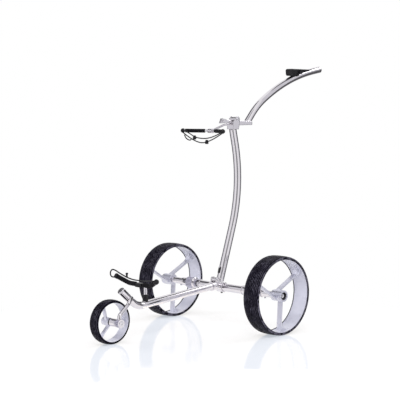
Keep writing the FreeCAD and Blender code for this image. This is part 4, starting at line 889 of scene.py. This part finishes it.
def makeLever(settings):
    spots = [vertex.co for vertex in nodes["fold_lever"].data.vertices]
    lean = math.radians(settings["lean"])
    up, ahead = Vector((0, math.sin(lean), math.cos(lean))), Vector((0, -math.cos(lean), math.sin(lean)))
    low = min(spot.dot(up) for spot in spots)
    near = min(spot.dot(ahead) for spot in spots)
    origin = up * low + ahead * near
    length = (max(spot.dot(up) for spot in spots) - low) / mm

    first, last = settings["ridged"]

    def fadeFrom(away):
        return math.sqrt(max(0, 1 - (1 - min(1, (away + 0.05) / settings["round"])) ** 2)) + 0.25

    def loft(name, start, end, left, right):
        rings = []
        steps = 28
        for index in range(steps + 1):
            share = index / steps
            along = start + (end - start) * share
            fade = min(1, fadeFrom(along - start), fadeFrom(end - along))
            wave = max(0, math.sin(2 * math.pi * along / settings["ridgePitch"]))
            ridge = settings["ridge"] * wave if first < along < last else 0
            thick = (settings["thick"] - 0.5 + ridge) * fade
            middle = (left + right) / 2
            wide = (right - left) / 2 * (0.86 + 0.14 * fade)
            ring = []
            for step in range(24):
                angle = 2 * math.pi * step / 24
                c, s = math.cos(angle), math.sin(angle)
                x = middle + wide * math.copysign(abs(c) ** 0.5, c)
                z = settings["thick"] / 2 + thick / 2 * math.copysign(abs(s) ** 0.5, s)
                ring.append(origin + (Vector((x, 0, 0)) + up * along + ahead * z) * mm)
            rings.append(ring)
        points, faces = joinRings(rings)
        addPiece(name, points, faces, "black_plastic", "fold_lever", ["fold_lever"])

    wide, gap = settings["width"] / 2, settings["gap"]
    loft("lever_thumb", 0.05, length - settings["thumbEnd"], -wide, wide)
    loft("lever_left_prong", length - settings["prongStart"], length - 0.05, gap, wide)
    loft("lever_right_prong", length - settings["prongStart"], length - 0.05, -wide, -gap)
    pivot = Vector(joints["fold_lever_turn"]["pos_m"])
    turned("lever_pivot", [(-4.5, 0), (-4.5, 1.1), (-4.2, 1.4), (4.2, 1.4), (4.5, 1.1), (4.5, 0)], pivot,
           (1, 0, 0), "bright_steel", "fold_lever", steps=24)


makeLever(lever)
print("lever ready")

# control housing: two moulded halves, with a dial on its left side
control = {"corner": 3.4, "seam": 0.35, "seamAt": 0.5, "tuck": 10, "onTube": 9.5, "archRadius": 850,
           "archY": 734.11, "archZ": 176.03, "nose": 9, "tail": 4.5, "endWidth": 0.80, "endTop": 0.45,
           "endBottom": 0.40, "ridges": 36, "ridgeDepth": 0.06}


def makeControl(settings):
    low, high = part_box("control_housing")
    rings = []
    length = (high.y - low.y) / mm
    height = (high.z - low.z) / mm
    wide = (high.x - low.x) / 2 / mm
    cuts = sorted([0.0, 0.4, 1.2, 2.6, 4.6, 8, 11] + [length - end for end in (4.5, 2.4, 1.1, 0.3, 0)]
                  + [11 + (length - 15.5) * k / 12 for k in range(1, 12)])
    for along in cuts:
        nose = 1 - (1 - min(1, along / settings["nose"])) ** 2
        tail = 1 - (1 - min(1, (length - along) / settings["tail"])) ** 2
        fit = min(math.sqrt(max(nose, 0)), math.sqrt(max(tail, 0)))
        widest, upper, lower = (settings[end] + (1 - settings[end]) * fit
                                for end in ("endWidth", "endTop", "endBottom"))
        halfWide = wide * widest
        arch = math.sqrt(settings["archRadius"] ** 2 - (settings["archY"] - low.y / mm - along) ** 2)
        seat = max(0, settings["archZ"] + arch + settings["onTube"] - low.z / mm)
        tuck = max(halfWide - 1.2 - seat * 0.35, min(halfWide, settings["tuck"]))
        level = (height + seat) / 2
        top = level + (height - level) * upper
        bottom = level - (level - seat) * lower
        corner = min(settings["corner"], (top - bottom) / 2.2)
        seam = bottom + (top - bottom) * settings["seamAt"]
        spots = []
        for cx, cz, first in ((1, 1, 0), (-1, 1, 90), (-1, -1, 180), (1, -1, 270)):
            reach = halfWide if cz > 0 else tuck
            for k in range(7):
                angle = math.radians(first + 15 * k)
                spots.append((cx * (reach - corner) + corner * math.cos(angle),
                              (top - corner if cz > 0 else bottom + corner) + corner * math.sin(angle)))
            if cx < 0 < cz or cx > 0 > cz:
                x = math.copysign((halfWide + tuck) / 2, cx)
                inward = settings["seam"] if cx < 0 else -settings["seam"]
                order = (0.5, 0.2, -0.2, -0.5) if cx < 0 else (-0.5, -0.2, 0.2, 0.5)
                for offset in order:
                    spots.append((x + (inward if abs(offset) < 0.3 else 0), seam + offset))
        rings.append([Vector((x * mm, low.y + along * mm, low.z + z * mm)) for x, z in spots])
    points, faces = joinRings(rings)
    addPiece("control_shell", points, faces, "black_plastic", "handle", ["control_housing"])
    middle, half = middleOf("speed_dial")
    low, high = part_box("speed_dial")
    radius, reach = half.z / mm, (high.x - low.x) / mm
    ridges = knurl(settings["ridges"], settings["ridgeDepth"])
    turned("speed_knob", [
        (0, 0), (0, 2.9), (reach - 9, 2.9), (reach - 9, radius - 0.6), (reach - 8.4, radius - 0.1),
        (reach - 7.6, radius, ridges), (reach - 4, radius, ridges),
        (reach - 1.2, radius, ridges), (reach - 0.5, radius - 0.6), (reach - 0.05, radius - 1.6),
        (reach - 0.3, radius - 2.4), (reach - 0.3, 0)], (low.x, middle.y, middle.z), (1, 0, 0),
        "black_plastic", "speed_dial", ["speed_dial"], steps=144)


makeControl(control)
print("control ready")

# weld beads where the tubes meet, each laid on the surface that it joins
post, _ = middleOf("lower_collar")
beads = {
    "left_cross_bead": {"on": "junction_block", "from": (22, 36, 150), "towards": (-1, 0, 0),
                        "radius": 17.4, "thick": 1.3},
    "right_cross_bead": {"on": "junction_block", "from": (-22, 36, 150), "towards": (1, 0, 0),
                         "radius": 17.4, "thick": 1.3},
    "axle_arm_bead": {"on": "front_axle_sleeve", "from": (50, -542.6, 112), "towards": (0, 0, -1),
                      "radius": 7.7, "thick": 1.0},
    "post_bead": {"on": "main_tube", "from": (post.x / mm, post.y / mm, 215), "towards": (0, 0, -1),
                  "radius": 10.9, "thick": 1.1},
}
ripple = {"height": 0.12, "pitch": 1.5}


def layBead(name, bead, steps=72):
    along, side, across = axesOf(bead["towards"])
    path = []
    for step in range(steps):
        angle = 2 * math.pi * step / steps
        outward = (side * math.cos(angle) + across * math.sin(angle)) * bead["radius"]
        hit, spot, _, _ = nodes[bead["on"]].ray_cast((Vector(bead["from"]) + outward) * mm, along)
        if hit:
            path.append(spot)
    if len(path) < steps * 0.8:
        print("no bead at", name, len(path))
        return

    def radiusAt(distance, angle):
        wave = abs(math.sin(math.pi * distance / ripple["pitch"]))
        return bead["thick"] * (1 - ripple["height"] + ripple["height"] * wave)

    fine = []
    for spot, after in zip(path, path[1:] + path[:1]):
        fine += [spot, spot.lerp(after, 0.33), spot.lerp(after, 0.67)]
    points, faces = joinRings(sweepRings(fine, radiusAt, 10, closed=True), closed=True)
    addPiece(name, points, faces, "polished_steel", "chassis")


for name, bead in beads.items():
    layBead(name, bead)
print("beads ready")
